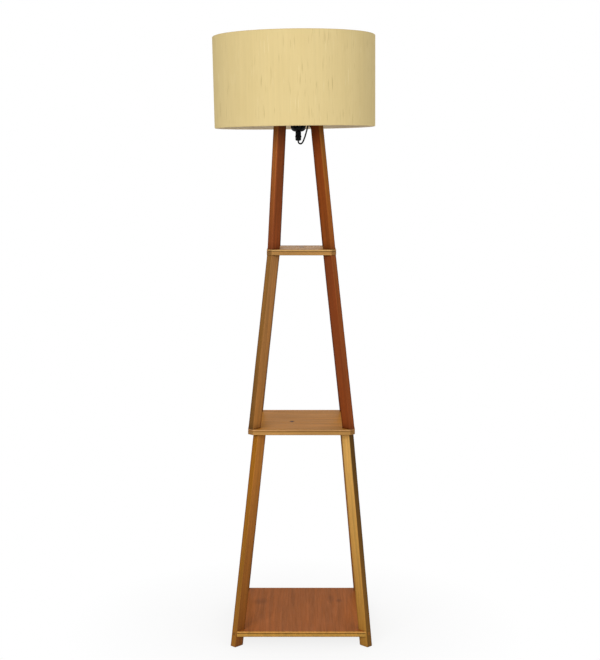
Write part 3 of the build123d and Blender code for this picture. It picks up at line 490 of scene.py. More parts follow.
def batten(name, side_x, side_y, seed, tones):
    """A raked batten between its CAD box's ends: level outlines carried along a straight line.

    tones are the colours of its narrow face low and high, then of its wide faces low and high,
    with the light and shade that each face takes painted in.
    """
    low, high = (np.array(corner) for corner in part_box(name))
    way = np.array([side_x, side_y])
    foot = np.where(way > 0, high[:2], low[:2]) - way * leg_extent
    head = np.where(way > 0, low[:2], high[:2]) + way * leg_extent
    outline = batten_outline()
    length = high[2] - low[2]
    share = np.linspace(0, 1, 90)
    if low[2] < foot_ease:
        share = np.concatenate([[0.0, foot_ease / length], share[1:]])
    z = share * length
    gap_x = leg_depth / 2 - np.abs(outline[:, 0])
    gap_y = leg_width / 2 - np.abs(outline[:, 1])
    nearness = np.exp(-(((gap_x + gap_y) / arris_reach) ** 2))
    worn = 1 - nearness * arris_wear * (0.5 + 0.5 * ripple(z, seed)[:, None])
    if low[2] < foot_ease:
        worn[0] *= 1 - foot_ease / (leg_width / 2)
    bowed = batten_bow * ripple(z + 0.7, seed + 50)[:, None]
    a = outline[:, 0] * worn + bowed
    b = outline[:, 1] * worn
    diagonal = way / 2**0.5
    beside = np.array([-diagonal[1], diagonal[0]])
    centre = foot + (head - foot) * share[:, None]
    flat = centre[:, None, :] + a[..., None] * diagonal + b[..., None] * beside
    height = np.broadcast_to(low[2] + z[:, None, None], a.shape + (1,))
    mesh = make_surface(name + "_wood", np.concatenate([flat, height], axis=-1))

    def add_field(field_name, kind, key, values):
        ends = np.concatenate([values.reshape(-1, values.shape[-1]), values[[0, -1], 0]])
        made = mesh.attributes.new(field_name, kind, "POINT")
        made.data.foreach_set(key, ends.astype(np.float32).ravel())

    grain = np.stack([a, b, np.broadcast_to(z[:, None], a.shape)], axis=-1)
    other_part = np.random.default_rng(seed).uniform(0, 2, 3)
    add_field("grain", "FLOAT_VECTOR", "vector", grain + other_part)
    # On a left leg the outer arris on its side to the front or back gets a painted highlight, on a
    # right leg it stays plain, and every other arris gets a dark line.
    middle = (outline[:, 1] * side_x * side_y > 0) & (outline[:, 0] > 0)
    tier = name.split("_")[1]
    lit = np.where(middle, arris_highlight[tier] if side_x < 0 else 0.0, -1.0)
    add_field("arris", "FLOAT", "value", np.broadcast_to(nearness * lit, a.shape)[..., None])
    narrow = np.clip(0.5 + (gap_y - gap_x) / tone_blend, 0, 1) * (outline[:, 0] > 0)
    stops = np.array([linear(tone) for tone in tones]).reshape(2, 2, 4)
    along = stops[:, :1] + (stops[:, 1:] - stops[:, :1]) * share[None, :, None]
    tone = along[1][:, None, :] + (along[0] - along[1])[:, None, :] * narrow[None, :, None]
    # Painted shade darkens the tones: the drum's shadow at an upper leg's head, and the corner
    # shade at the foot of a leg standing on a shelf.
    painted_shadow = np.zeros(len(z))
    if tier == "upper":
        painted_shadow += drum_shadow_paint[0] * np.exp(-(((length - z) / drum_shadow_paint[1]) ** 2))
    if tier != "lower":
        painted_shadow += foot_shade_paint[0] * np.exp(-((z / foot_shade_paint[1]) ** 2))
    tone[..., :3] *= 1 - painted_shadow[:, None, None]
    add_field("tone", "FLOAT_COLOR", "color", tone)
    piece = link(name + "_wood", mesh)
    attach(piece, "stand")
    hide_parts(name)
    return piece


# What changes the wood's tone, as shares of its red, green and blue: stain soaked in at end
# grain with painted shade on the clipped corners, redder figure, dirt in the pores, dark lines
# along the arrises, and a painted highlight along one arris.
soaked_and_shaded_end = (0.36, 0.27, 0.2)
redder = (1.04, 0.84, 0.7)
pore_dirt = (0.5, 0.42, 0.36)
arris_darkening = (0.42, 0.36, 0.36)
highlight_tint = (1.5, 1.5, 1.6)
spot_brown = "#3A1C0A"
# Noise for the figure and the pores: mm across the grain, mm along it, and detail.
broad_figure = (9, 260, 3)
pore_figure = (0.4, 9, 2)
streak_detail = 4


def tint_where(tree, colour, field, start, end, share, tint):
    """The colour times a tint, mixed in from none to a share as the field goes start to end."""
    part = add_node(
        tree, "ShaderNodeMapRange", {0: field, 1: start, 2: end, 3: 0.0, 4: share}
    ).outputs[0]
    tinted = add_node(
        tree, "ShaderNodeVectorMath", {0: colour, 1: tint}, operation="MULTIPLY"
    ).outputs[0]
    return add_node(
        tree, "ShaderNodeMix", {0: part, 6: colour, 7: tinted}, data_type="RGBA"
    ).outputs[2]


def oiled_wood(name, along, tone=None, bands=None, streaks=(2.5, 120, 0.12), dark_spots=()):
    """Oiled hardwood with its grain along one way: of one tone, in bands, or of its own tones.

    along is "front to back", "side to side", or "own fields" where the mesh carries its grain,
    its tones and its arris marks, dark lines and a painted highlight. Broad figure, growth
    streaks and pores are noise drawn out along the grain: the pores are pits, and the oil leaves
    a soft, uneven gloss. streaks are (mm across, mm along, strength), and bands (low, high, tones
    by share of the height). Dark spots are knots, stains and a painted shadow, each (x, y, z,
    radius, strength, stretch from front to back), in metres.
    """
    material, tree = new_material(name)
    if along == "own fields":
        place = add_node(tree, "ShaderNodeAttribute", attribute_name="grain").outputs["Vector"]
        tone = add_node(tree, "ShaderNodeAttribute", attribute_name="tone").outputs["Color"]
    else:
        object_place = add_node(tree, "ShaderNodeTexCoord").outputs["Object"]
        x, y, z = add_node(tree, "ShaderNodeSeparateXYZ", {0: object_place}).outputs
        first, last = (x, y) if along == "front to back" else (y, x)
        place = add_node(tree, "ShaderNodeCombineXYZ", {0: first, 1: z, 2: last}).outputs[0]
    if bands:
        low, high, stops = bands
        share = add_node(
            tree, "ShaderNodeMapRange", {0: z, 1: low, 2: high, 3: 0.0, 4: 1.0}
        ).outputs[0]
        ramp = add_node(tree, "ShaderNodeValToRGB", {0: share})
        ramp.color_ramp.interpolation = "CONSTANT"
        elements = ramp.color_ramp.elements
        for number, (position, hex_colour) in enumerate(stops):
            element = elements[number] if number < 2 else elements.new(position)
            element.position = position
            element.color = linear(hex_colour)
        #         The clipped corners are cut across the grain and soak up more stain, and their
        #         darkening also paints shade on them.
        normal = add_node(tree, "ShaderNodeNewGeometry").outputs["Normal"]
        across, deep, _ = add_node(tree, "ShaderNodeSeparateXYZ", {0: normal}).outputs
        skew = add_node(
            tree, "ShaderNodeMath", {0: across, 1: deep}, operation="MULTIPLY"
        ).outputs[0]
        skew = add_node(tree, "ShaderNodeMath", {0: skew}, operation="ABSOLUTE").outputs[0]
        tone = tint_where(tree, ramp.outputs["Color"], skew, 0.3, 0.5, 0.5, soaked_and_shaded_end)
    fields = []
    streak_across, streak_along, streak_strength = streaks
    growth_figure = (streak_across, streak_along, streak_detail)
    for across_mm, along_mm, detail in (broad_figure, growth_figure, pore_figure):
        stretched = add_node(
            tree,
            "ShaderNodeVectorMath",
            {0: place, 1: (1000 / across_mm, 1000 / across_mm, 1000 / along_mm)},
            operation="MULTIPLY",
        ).outputs[0]
        noise = add_node(
            tree,
            "ShaderNodeTexNoise",
            {"Vector": stretched, "Scale": 1.0, "Detail": detail, "Distortion": 0.3},
        )
        fields.append(noise.outputs["Fac"])
    broad, streak, pores = fields
    colour = tone
    for field, strength in ((broad, 0.15), (streak, streak_strength)):
        shade = add_node(
            tree,
            "ShaderNodeMapRange",
            {0: field, 1: 0.3, 2: 0.7, 3: 1 - strength, 4: 1 + strength},
        ).outputs[0]
        colour = add_node(
            tree, "ShaderNodeVectorMath", {0: colour, "Scale": shade}, operation="SCALE"
        ).outputs[0]
    colour = tint_where(tree, colour, broad, 0.35, 0.65, 0.25, redder)
    colour = tint_where(tree, colour, pores, 0.56, 0.7, 0.45, pore_dirt)
    if along == "own fields":
        # Dark lines along the arrises, and a painted highlight along one, where the rounded arris
        # catches the light.
        near = add_node(tree, "ShaderNodeAttribute", attribute_name="arris").outputs["Fac"]
        colour = tint_where(tree, colour, near, 0.0, -1.0, 0.75, arris_darkening)
        colour = tint_where(tree, colour, near, 0.0, 1.0, 0.9, highlight_tint)
    for x_spot, y_spot, z_spot, radius, strength, stretch in dark_spots:
        from_spot = add_node(
            tree,
            "ShaderNodeVectorMath",
            {0: object_place, 1: (x_spot, y_spot, z_spot)},
            operation="SUBTRACT",
        ).outputs[0]
        from_spot = add_node(
            tree,
            "ShaderNodeVectorMath",
            {0: from_spot, 1: (1, 1 / stretch, 1)},
            operation="MULTIPLY",
        ).outputs[0]
        away = add_node(
            tree, "ShaderNodeVectorMath", {0: from_spot}, operation="LENGTH"
        ).outputs["Value"]
        dark = add_node(
            tree, "ShaderNodeMapRange", {0: away, 1: radius, 2: radius * 0.4, 3: 0.0, 4: strength}
        ).outputs[0]
        colour = add_node(
            tree, "ShaderNodeMix", {0: dark, 6: colour, 7: linear(spot_brown)}, data_type="RGBA"
        ).outputs[2]
    gloss = add_node(
        tree, "ShaderNodeMapRange", {0: streak, 1: 0.3, 2: 0.7, 3: 0.52, 4: 0.4}
    ).outputs[0]
    depth = add_node(
        tree, "ShaderNodeMath", {0: streak, 1: pores}, operation="SUBTRACT"
    ).outputs[0]
    pitted = add_node(
        tree, "ShaderNodeBump", {"Height": depth, "Strength": 0.25, "Distance": 0.0003}
    ).outputs[0]
    wood = add_node(
        tree,
        "ShaderNodeBsdfPrincipled",
        {
            "Base Color": colour,
            "Roughness": gloss,
            "Normal": pitted,
            "IOR": 1.5,
            "Specular IOR Level": 0.06,
        },
    )
    add_node(tree, "ShaderNodeOutputMaterial", {0: wood.outputs[0]})
    return material


# Each batten's stain, with the light and shade on each face painted in: its narrow face low and
# high, then its wide faces low and high.
leg_tones = {
    "leg_upper_front_left": ("#84431F", "#9C5E28", "#874520", "#864620"),
    "leg_upper_front_right": ("#97521F", "#9C6224", "#854619", "#823C12"),
    "leg_upper_back_left": ("#7E4322", "#884A24", "#743B1B", "#713B1B"),
    "leg_upper_back_right": ("#7C4424", "#764320", "#7C4020", "#7C401C"),
    "leg_middle_front_left": ("#805624", "#8E6430", "#A06C34", "#A47442"),
    "leg_middle_front_right": ("#86431C", "#8C4C22", "#88421A", "#80401C"),
    "leg_middle_back_left": ("#7E5026", "#85562E", "#84512A", "#885630"),
    "leg_middle_back_right": ("#6E381C", "#743E20", "#743818", "#70381C"),
    "leg_lower_front_left": ("#966424", "#9C6416", "#804C1E", "#B27430"),
    "leg_lower_front_right": ("#7A5420", "#5A3E18", "#A87830", "#DAAA5C"),
    "leg_lower_back_left": ("#8E5E2A", "#8C5A28", "#8A5426", "#8C5828"),
    "leg_lower_back_right": ("#8E5E2A", "#8C5A28", "#94602A", "#966428"),
}
leg_wood = oiled_wood("oiled_legs", "own fields")
for number, (name, tones) in enumerate(leg_tones.items()):
    side_x = 1 if name.endswith("right") else -1
    side_y = 1 if "back" in name else -1
    piece = batten(name, side_x, side_y, 20 + number, tones)
    piece.data.materials.append(leg_wood)

# ---- Shelves and holder plate ---------------------------------------------------------------
# Solid boards with clipped corners and a shallow groove run round the edge, oiled like the
# legs. The bottom board's grain runs front to back, the others' from side to side.
# Each board's tones from its underside up, with its faces' light and shade painted in, its grain,
# growth streaks, and dark spots: knots, stains and one painted shadow.
shelf_looks = {
    "shelf_bottom": {
        "tones": ("#6A4A2C", "#6E4A22", "#B78A40", "#5E3608", "#CF984E", "#A86026"),
        "along": "front to back",
        "streaks": (3.4, 70, 0.08),
        "dark_spots": (
            (-0.0916, 0.0612, 0.04, 0.022, 0.2, 1.5),
            (-0.1040, 0.0540, 0.04, 0.016, 0.14, 1.5),
            (0.0936, 0.0794, 0.04, 0.013, 0.2, 3.0),
            (0.1150, 0.0660, 0.04, 0.011, 0.26, 1.5),
        ),
    },
    "shelf_middle": {
        "tones": ("#7A5632", "#7C5A2C", "#B4864A", "#94682E", "#C0905A", "#C2822C"),
        "along": "side to side",
        "streaks": (4.0, 160, 0.22),
        "dark_spots": (
            (-0.0103, -0.0276, 0.547, 0.0075, 0.9, 1.7),
            # Not a knot: a painted shadow in the corner where the front left leg stands on the
            # board.
            (-0.0976, -0.1053, 0.547, 0.012, 0.5, 1.0),
        ),
    },
    "shelf_top": {
        "tones": ("#7A5632", "#7C5A2C", "#AC8048", "#6E4A1C", "#C8A064", "#C8944E"),
        "along": "side to side",
        "streaks": (3.0, 160, 0.18),
        "dark_spots": ((0.0154, 0.022, 0.992, 0.0085, 0.95, 2.6),),
    },
    "holder_plate": {
        "tones": ("#7A4420", "#7A4420", "#7A3F1C", "#7A3F1C", "#7A3F1C", "#7A3F1C"),
        "along": "side to side",
        "streaks": (2.2, 160, 0.12),
        "dark_spots": (),
    },
}
# Where each tone starts, as a share of the board's height: underside, lower arris, edge below
# the groove, groove, edge above it, top face. The tones paint light and shade: a darker underside
# and lower arris, painted shade in the groove, a paler edge above it as painted highlight, and a
# top face in a tone of its own for the light it takes.
band_starts = (0.0, 0.003, 0.057, 0.614, 0.743, 0.99)
for name, look in shelf_looks.items():
    low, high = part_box(name)
    tones, along, streaks, dark_spots = look.values()
    bands = (low[2], high[2], list(zip(band_starts, tones)))
    dress(oiled_wood("oiled_" + name, along, None, bands, streaks, dark_spots), name)

# ---- Dowels, screws and pellets -------------------------------------------------------------
# Fluted beech dowels inside the joints, bright steel wood screws, and cross-grain pellets of
# the legs' own wood glued over the screws of the bottom shelf.
beech = oiled_wood("beech_dowel", "side to side", linear("#C79A63")[:3])
pellet_wood = oiled_wood("pellet_wood", "side to side", linear("#8C5A24")[:3])
dress(beech, "dowels_lower_top", "dowels_middle_foot", "dowels_middle_top", "dowels_upper_foot")
# Each ring's radius and its height above the leg's arris face, in metres.
pellet_rings = ((0.004, -0.001), (0.004, 0.0001), (0.00372, 0.00028), (0.0024, 0.00034))
pellet_height = (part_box("screw_pellets")[0][2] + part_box("screw_pellets")[1][2]) / 2


def pellet_surface(low, high, side_x, side_y):
    """A shallow dome on a leg's outer side: its rings shrink as they rise."""
    way = np.array([side_x, side_y])
    outer = np.where([side_x > 0, side_y > 0], high[:2], low[:2])
    inner = np.where([side_x > 0, side_y > 0], low[:2], high[:2])
    foot = outer - way * leg_extent
    head = inner + way * leg_extent
    share = (pellet_height - low[2]) / (high[2] - low[2])
    out = np.array([side_x, side_y, 0]) / 2**0.5
    across = np.array([-side_y, side_x, 0]) / 2**0.5
    lean = (head - foot) @ way / 2**0.5 / (high[2] - low[2])
    up = np.array([0, 0, 1.0]) + out * lean
    centre = np.append(foot + (head - foot) * share, pellet_height) + out * leg_depth / 2
    turn = np.linspace(0, 2 * pi, 32, endpoint=False)[:, None]
    radius, rise = np.array(pellet_rings).T[..., None, None]
    return centre + (np.cos(turn) * across + np.sin(turn) * up) * radius + out * rise


for side_x, side_name in ((-1, "left"), (1, "right")):
    for side_y, depth_name in ((-1, "front"), (1, "back")):
        low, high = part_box("leg_lower_" + depth_name + "_" + side_name)
        grid = pellet_surface(np.array(low), np.array(high), side_x, side_y)
        name = "pellet_" + depth_name + "_" + side_name
        pellet = link(name, make_surface(name, grid))
        pellet.data.materials.append(pellet_wood)
        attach(pellet, "stand")
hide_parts("screw_pellets")

# Zinc-plated steel: pale grey with a soft brushed gloss.
plated_steel = patchy_finish(
    "zinc_plated_steel",
    patch=(2, 4.0),
    hues=("#A9A9A4", "#C3C3BE"),
    gloss=(0.28, 0.46),
    sockets={"Metallic": 1.0},
)
dress(plated_steel, "shelf_screws", "plate_screws", "clip_nails")
dress(moulded_pvc, "cord_clips")

# ---- Lampholder -----------------------------------------------------------------------------
# A black moulded phenolic lampholder: domed cap with a ribbed cord grip, threaded skirt and two
# clamping rings, round a white porcelain core with a brass screw shell and centre contact.
phenolic = patchy_finish(
    "moulded_phenolic",
    patch=(7, 4.0),
    hues=("#040404", "#0A0A0A"),
    gloss=(0.22, 0.36),
    sockets={"IOR": 1.6, "Specular IOR Level": 0.07},
    relief=(1.8, 1.0, 0.08),
)
dress(phenolic, "holder_cap", "cord_grip", "ring_below_plate", "shade_ring")

holder_low, holder_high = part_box("holder_skirt")
holder_x = (holder_low[0] + holder_high[0]) / 2
skirt_radius = (holder_high[0] - holder_low[0]) / 2
skirt_top = holder_high[2]
# The skirt's neck fits in the cap, round the core: its radii, foot and top. Above the core a
# small ledge leads out to the bore, which widens a little to its mouth.
neck_inside, neck_outside = 0.0146, 0.0166
neck_foot, neck_top = 1.2945, 1.3
ledge_height, ledge_draft = 1.3062, 0.0003
bore_foot, bore_mouth = 0.0166, 0.0168
skirt_chamfer = 0.0012
# The thread's pitch and depth, how far from the shoulder and the top it ends, what it cuts of
# the profile, counted in from the outside, and the steps up the wall that carry it.
skirt_pitch, skirt_cut = 0.0025, 0.0006
shoulder_land, mouth_land = 0.0005, 0.0008
thread_skin = 0.001
thread_step = 0.0003
# A thread fades in and out over this share of its pitch.
thread_fade = 0.6


def turned(name, profile, thread=None, looped=True, count=128):
    """A profile of (radius, height) turned about the holder's axis; with looped it is closed.

    thread is (low, high, pitch, depth, least): between the two heights, where the profile is
    wider than the least radius, it is cut back by depth times a raised cosine of height over
    pitch less turn, which fades out at both ends.
    """
    radius, height = np.array(profile).T
    turn = np.linspace(0, 2 * pi, count, endpoint=False)
    r = np.broadcast_to(radius[:, None], (len(radius), count)).copy()
    if thread:
        low, high, pitch, depth, least = thread
        inside = (height > low) & (height < high) & (radius > least)
        wave = 0.5 - 0.5 * np.cos(2 * pi * height[:, None] / pitch - turn[None, :])
        fade = np.clip(np.minimum(height - low, high - height) / (pitch * thread_fade), 0, 1)
        r -= depth * wave * (inside * fade)[:, None]
    heights = np.broadcast_to(height[:, None], r.shape)
    grid = np.stack([holder_x + r * np.cos(turn), r * np.sin(turn), heights], axis=-1)
    return make_surface(name, grid, looped)


def ladder(radius, low, high):
    """Points up a straight wall, close enough together to carry a thread."""
    return [(radius, z) for z in np.arange(low, high, thread_step)]


skirt_profile = [
    (neck_inside, neck_foot),
    (neck_outside, neck_foot),
    (neck_outside, neck_top),
    (skirt_radius, neck_top),
    *ladder(skirt_radius, neck_top + shoulder_land, skirt_top - skirt_chamfer),
    (skirt_radius - skirt_chamfer, skirt_top),
    (bore_mouth, skirt_top),
    (bore_foot, ledge_height + ledge_draft),
    (neck_inside, ledge_height),
]
skirt_least = skirt_radius - thread_skin
skirt_thread = (neck_top, skirt_top - mouth_land, skirt_pitch, skirt_cut, skirt_least)
skirt = link("threaded_skirt", turned("threaded_skirt", skirt_profile, skirt_thread))
skirt.data.materials.append(phenolic)
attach(skirt, "stand")
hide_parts("holder_skirt")

# Glazed porcelain: off-white, hard gloss.
porcelain = patchy_finish(
    "glazed_porcelain",
    patch=(3, 3.0),
    hues=("#E4E0D6", "#F0EDE6"),
    gloss=(0.3,),
    sockets={"IOR": 1.5, "Coat Weight": 0.4},
)
dress(porcelain, "holder_core")

# Brass: warm yellow, slightly dulled in patches.
brass = patchy_finish(
    "dulled_brass",
    patch=(4, 4.0),
    hues=("#D9B56A", "#B08C4A"),
    gloss=(0.2, 0.42),
    sockets={"Metallic": 1.0},
)
dress(brass, "terminals", "socket_shell", "centre_contact")

# ---- Bulb -----------------------------------------------------------------------------------
# A frosted glass lamp bulb in a pressed aluminium screw cap with a black glass insulator and a
# solder tip, cemented to the neck.
cap_low, cap_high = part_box("bulb_cap")
cap_foot, cap_top = cap_low[2], cap_high[2]
shell_radius = 0.0131
shell_inset = 0.006
cap_pitch, cap_cut, cap_least = 0.0036, 0.0010, 0.0125
# Radius and height of the solder tip, the insulator's cone, the threaded shell and its collar.
bulb_profile = [
    (0.0044, cap_foot),
    (0.0047, cap_foot + 0.0014),
    (0.0104, cap_foot + 0.0048),
    (0.0122, cap_foot + 0.0056),
    *ladder(shell_radius, cap_foot + shell_inset, cap_top - shell_inset),
    (0.0125, cap_top - 0.0058),
    (0.0128, cap_top - 0.0040),
    (0.0130, cap_top - 0.0005),
    (0.0124, cap_top),
]
cap_thread = (cap_foot + shell_inset, cap_top - shell_inset, cap_pitch, cap_cut, cap_least)
bulb_cap = link("bulb_screw_cap", turned("bulb_screw_cap", bulb_profile, cap_thread, False))
pressed = patchy_finish(
    "pressed_aluminium",
    patch=(3, 3.0),
    hues=("#D6D7D8",),
    gloss=(0.22, 0.38),
    sockets={"Metallic": 1.0},
)
bulb_cap.data.materials.append(pressed)
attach(bulb_cap, "bulb")
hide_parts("bulb_cap")

# Frosted glass: the inside is etched, so it is milky white with a smooth gloss outside.
frosted = patchy_finish(
    "frosted_glass",
    patch=(6, 3.0),
    hues=("#F1EFE9", "#FAF9F5"),
    gloss=(0.25,),
    sockets={"IOR": 1.5, "Transmission Weight": 0.12},
)
dress(frosted, "bulb_globe")

# ---- Drum shade -----------------------------------------------------------------------------
# Slubbed natural cloth bonded to a cream PVC liner and rolled over two wire hoops, its edges
# turned in. It is a whole drum, joined by a glued lap at the back right, tilted a little.
drum_tilt = radians(0.8)
drum_height = 0.226
drum_bottom_radius = 0.2018
drum_top_radius = 0.2035
drum_foot = np.array([-0.0024, 0.0, 1.2940])
drum_up = np.array([-sin(drum_tilt), 0.0, cos(drum_tilt)])
drum_side = np.array([cos(drum_tilt), 0.0, sin(drum_tilt)])
drum_back = np.array([0.0, 1.0, 0.0])
cloth = 0.0008
hem_depth = 0.0090
# Half the height of a rolled edge, and how far the wire's middle is in from the wall's outside.
roll_half = 0.0026
wire_in = 0.0031
seam_turn = radians(55)
cloth_waver = 0.00008


def drum_radius(height):
    """Outer radius at a height above the lower rim: a straight taper."""
    share = height / drum_height
    return drum_bottom_radius + (drum_top_radius - drum_bottom_radius) * share


def on_drum(radius, turn, height):
    """Points of the tilted drum from radius, turn and height arrays of one shape."""
    around = np.cos(turn)[..., None] * drum_side + np.sin(turn)[..., None] * drum_back
    return drum_foot + radius[..., None] * around + height[..., None] * drum_up


def cloth_line():
    """Middle line of the cloth as (radius, height): inside band, over a hoop, wall, hoop, band.

    Over each hoop it is half an ellipse, and each band is straight up the hoop's inner side.
    """
    inner = roll_half - cloth / 2
    bend = np.linspace(0, pi, 13)
    ends = []
    for hoop, outward in ((drum_height - roll_half, 1), (roll_half, -1)):
        inside = drum_radius(hoop) - wire_in - inner
        outside = drum_radius(hoop) - cloth / 2
        middle, reach = (inside + outside) / 2, (outside - inside) / 2
        band = np.linspace(hoop - outward * hem_depth, hoop, 5)[:-1]
        radius = np.concatenate([np.full(4, inside), middle - reach * np.cos(bend)])
        height = np.concatenate([band, hoop + outward * inner * np.sin(bend)])
        ends.append(np.stack([radius, height], axis=1))
    wall = np.linspace(drum_height - roll_half, roll_half, 40)[1:-1]
    wall = np.stack([drum_radius(wall) - cloth / 2, wall], axis=1)
    return np.concatenate([ends[0], wall, ends[1][::-1]])


def thickened(line, thickness):
    """A closed profile round an open line: the line moved half a thickness to each side."""
    way = np.gradient(line, axis=0)
    way /= np.linalg.norm(way, axis=1)[:, None]
    side = np.stack([way[:, 1], -way[:, 0]], axis=1) * thickness / 2
    return np.concatenate([line + side, (line - side)[::-1]])


def drum_piece(name, profile, count, waver=0.0):
    """A closed profile carried round the drum from its seam, with a slight waver of its radius."""
    turn = seam_turn + np.linspace(0, 2 * pi, count, endpoint=False)
    radius = np.broadcast_to(profile[:, :1], (len(profile), count))
    height = np.broadcast_to(profile[:, 1:], (len(profile), count))
    wave = np.sin(3 * turn + 0.6) + 0.6 * np.sin(7 * turn + 2.1) + 0.4 * np.sin(16 * turn)
    grid = on_drum(radius + waver * wave, np.broadcast_to(turn, radius.shape), height)
    mesh = make_surface(name, grid, looped=True)
    around = np.broadcast_to((turn - seam_turn) * drum_bottom_radius, radius.shape)
    field = mesh.attributes.new("cloth", "FLOAT_VECTOR", "POINT")
    flat = np.stack([around, height, radius], axis=-1)
    field.data.foreach_set("vector", flat.astype(np.float32).ravel())
    return mesh


cover_profile = thickened(cloth_line(), cloth)
cover = link("shade_cover", drum_piece("shade_cover", cover_profile, 360, cloth_waver))
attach(cover, "shade")
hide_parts("shade_fabric", "shade_hem_bottom", "shade_hem_top")

liner_edge = 0.004
liner_inset = 0.00105
liner_thickness = 0.0005
liner_height = np.linspace(liner_edge, drum_height - liner_edge, 30)
liner_line = np.stack([drum_radius(liner_height) - liner_inset, liner_height], axis=1)
liner_profile = thickened(liner_line, liner_thickness)
liner = link("shade_liner_sheet", drum_piece("shade_liner_sheet", liner_profile, 240))
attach(liner, "shade")
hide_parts("shade_liner")

lap_width = 0.012
lap_thickness = 0.0005
lap_edge = 0.003
# How deep its foot stands in the cloth, and the share of its width over which an edge thins out.
lap_foot = 0.0003
lap_pressed = 0.08


def lap_surface():
    """A long flat strip on the drum's wall at the seam, its edges pressed thin."""
    across = np.linspace(-0.5, 0.5, 18)
    edge = np.clip((0.5 - np.abs(across)) / lap_pressed, 0, 1)
    height = np.linspace(lap_edge, drum_height - lap_edge, 40)
    wall = drum_radius(height)[:, None]
    over = wall + lap_thickness * edge[None, :]
    turns = np.broadcast_to(across * lap_width / drum_bottom_radius + seam_turn, over.shape)
    heights = np.broadcast_to(height[:, None], over.shape)
    top = on_drum(over, turns, heights)
    under = on_drum(np.broadcast_to(wall - lap_foot, over.shape), turns, heights)
    return np.concatenate([top, under[:, ::-1]], axis=1)


lap = link("shade_lap", make_surface("shade_lap", lap_surface()))
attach(lap, "shade")

# Raw silk type cloth: straw coloured, with upright slubs about 2 mm wide and up to 75 mm long
# over a plain weave of about 16 threads to the centimetre, drawn at 1.2 mm so that it can show.
# Each layer is noise: mm across the cloth, mm up it, and detail.
cloth_layers = (
    (1.7, 60, 1),
    (1.2, 1.2, 1),
    (60, 160, 3),
    (6, 240, 3),
    (2.3, 75, 1),
)
# The turned-in bands lie inside the first of these radii, and are palest from the second on.
band_radii = (0.2, 0.1988)
# Each layer changes once in 33 mm of depth, so it is nearly the same on both faces.
depth_scale = 30
slub_cloth, tree = new_material("slubbed_cloth")
field = add_node(tree, "ShaderNodeAttribute", attribute_name="cloth").outputs["Vector"]
layers = []
for across_mm, along_mm, detail in cloth_layers:
    stretched = add_node(
        tree,
        "ShaderNodeVectorMath",
        {0: field, 1: (1000 / across_mm, 1000 / along_mm, depth_scale)},
        operation="MULTIPLY",
    ).outputs[0]
    noise = add_node(
        tree, "ShaderNodeTexNoise", {"Vector": stretched, "Scale": 1.0, "Detail": detail}
    )
    layers.append(noise.outputs["Fac"])
slub, weave, cloud, warp, thick_slub = layers
colour = add_node(
    tree,
    "ShaderNodeMix",
    {0: cloud, 6: linear("#D9C288"), 7: linear("#E0CB94")},
    data_type="RGBA",
).outputs[2]
for lump, edges, patch, hex_colour in (
    (slub, (0.67, 0.76), (0.44, 0.56), "#B0965E"),
    (thick_slub, (0.7, 0.78), (0.4, 0.52), "#A88C56"),
    (thick_slub, (0.31, 0.24), (0.6, 0.5), "#EADAAA"),
):
    raised = add_node(
        tree, "ShaderNodeMapRange", {0: lump, 1: edges[0], 2: edges[1], 3: 0.0, 4: 0.85}
    ).outputs[0]
    where = add_node(
        tree, "ShaderNodeMapRange", {0: cloud, 1: patch[0], 2: patch[1], 3: 0.15, 4: 1.0}
    ).outputs[0]
    shown = add_node(
        tree, "ShaderNodeMath", {0: raised, 1: where}, operation="MULTIPLY"
    ).outputs[0]
    colour = add_node(
        tree, "ShaderNodeMix", {0: shown, 6: colour, 7: linear(hex_colour)}, data_type="RGBA"
    ).outputs[2]
radius_out = add_node(tree, "ShaderNodeSeparateXYZ", {0: field}).outputs[2]
turned_in = add_node(
    tree,
    "ShaderNodeMapRange",
    {0: radius_out, 1: band_radii[0], 2: band_radii[1], 3: 0.0, 4: 0.75},
).outputs[0]
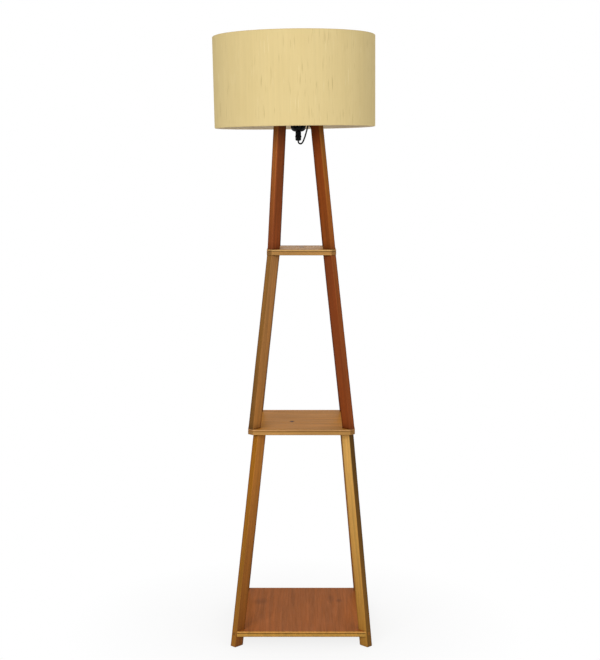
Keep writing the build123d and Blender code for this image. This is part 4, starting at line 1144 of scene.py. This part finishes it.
colour = add_node(
    tree, "ShaderNodeMix", {0: turned_in, 6: colour, 7: linear("#E2D3BC")}, data_type="RGBA"
).outputs[2]
tone = add_node(
    tree, "ShaderNodeMapRange", {0: warp, 1: 0.3, 2: 0.7, 3: 0.98, 4: 1.02}
).outputs[0]
colour = add_node(
    tree, "ShaderNodeVectorMath", {0: colour, 3: tone}, operation="SCALE"
).outputs[0]
relief = add_node(tree, "ShaderNodeMath", {0: slub, 1: weave}, operation="ADD").outputs[0]
threads = add_node(
    tree, "ShaderNodeBump", {"Height": relief, "Strength": 0.16, "Distance": 0.0004}
).outputs[0]
weft = add_node(
    tree,
    "ShaderNodeBsdfPrincipled",
    {
        "Base Color": colour,
        "Roughness": 0.82,
        "Normal": threads,
        "IOR": 1.45,
        "Specular IOR Level": 0.1,
    },
)
add_node(tree, "ShaderNodeOutputMaterial", {0: weft.outputs[0]})
cover.data.materials.append(slub_cloth)
# The lap's own field is x, height and depth, moved out so that it is never taken for a band.
lap_field = lap.data.attributes.new("cloth", "FLOAT_VECTOR", "POINT")
lap_points = np.empty(len(lap.data.vertices) * 3)
lap.data.vertices.foreach_get("co", lap_points)
lap_places = lap_points.reshape(-1, 3)[:, [0, 2, 1]] + np.array([0.0, 0.0, 0.1])
lap_field.data.foreach_set("vector", lap_places.astype(np.float32).ravel())
lap.data.materials.append(slub_cloth)

# Cream PVC film: matt, smooth, a little mottled by the adhesive behind it.
liner_film = patchy_finish(
    "cream_pvc_film",
    patch=(20, 4.0),
    hues=("#D9CDB4", "#E6DCC8"),
    gloss=(0.55,),
    sockets={"IOR": 1.5},
)
liner.data.materials.append(liner_film)

# White epoxy powder coat on the wire: satin, with its fine orange peel.
powder_coat = patchy_finish(
    "white_powder_coat",
    patch=(1.2, 2.0),
    hues=("#E0DDD2", "#ECEAE2"),
    gloss=(0.4,),
    sockets={"IOR": 1.5},
    relief=(1.2, 2.0, 0.15),
)
dress(powder_coat, "shade_hub", "shade_arms", "shade_hoop_bottom", "shade_hoop_top")

# ---- Scene update ---------------------------------------------------------------------------
bpy.context.view_layer.update()
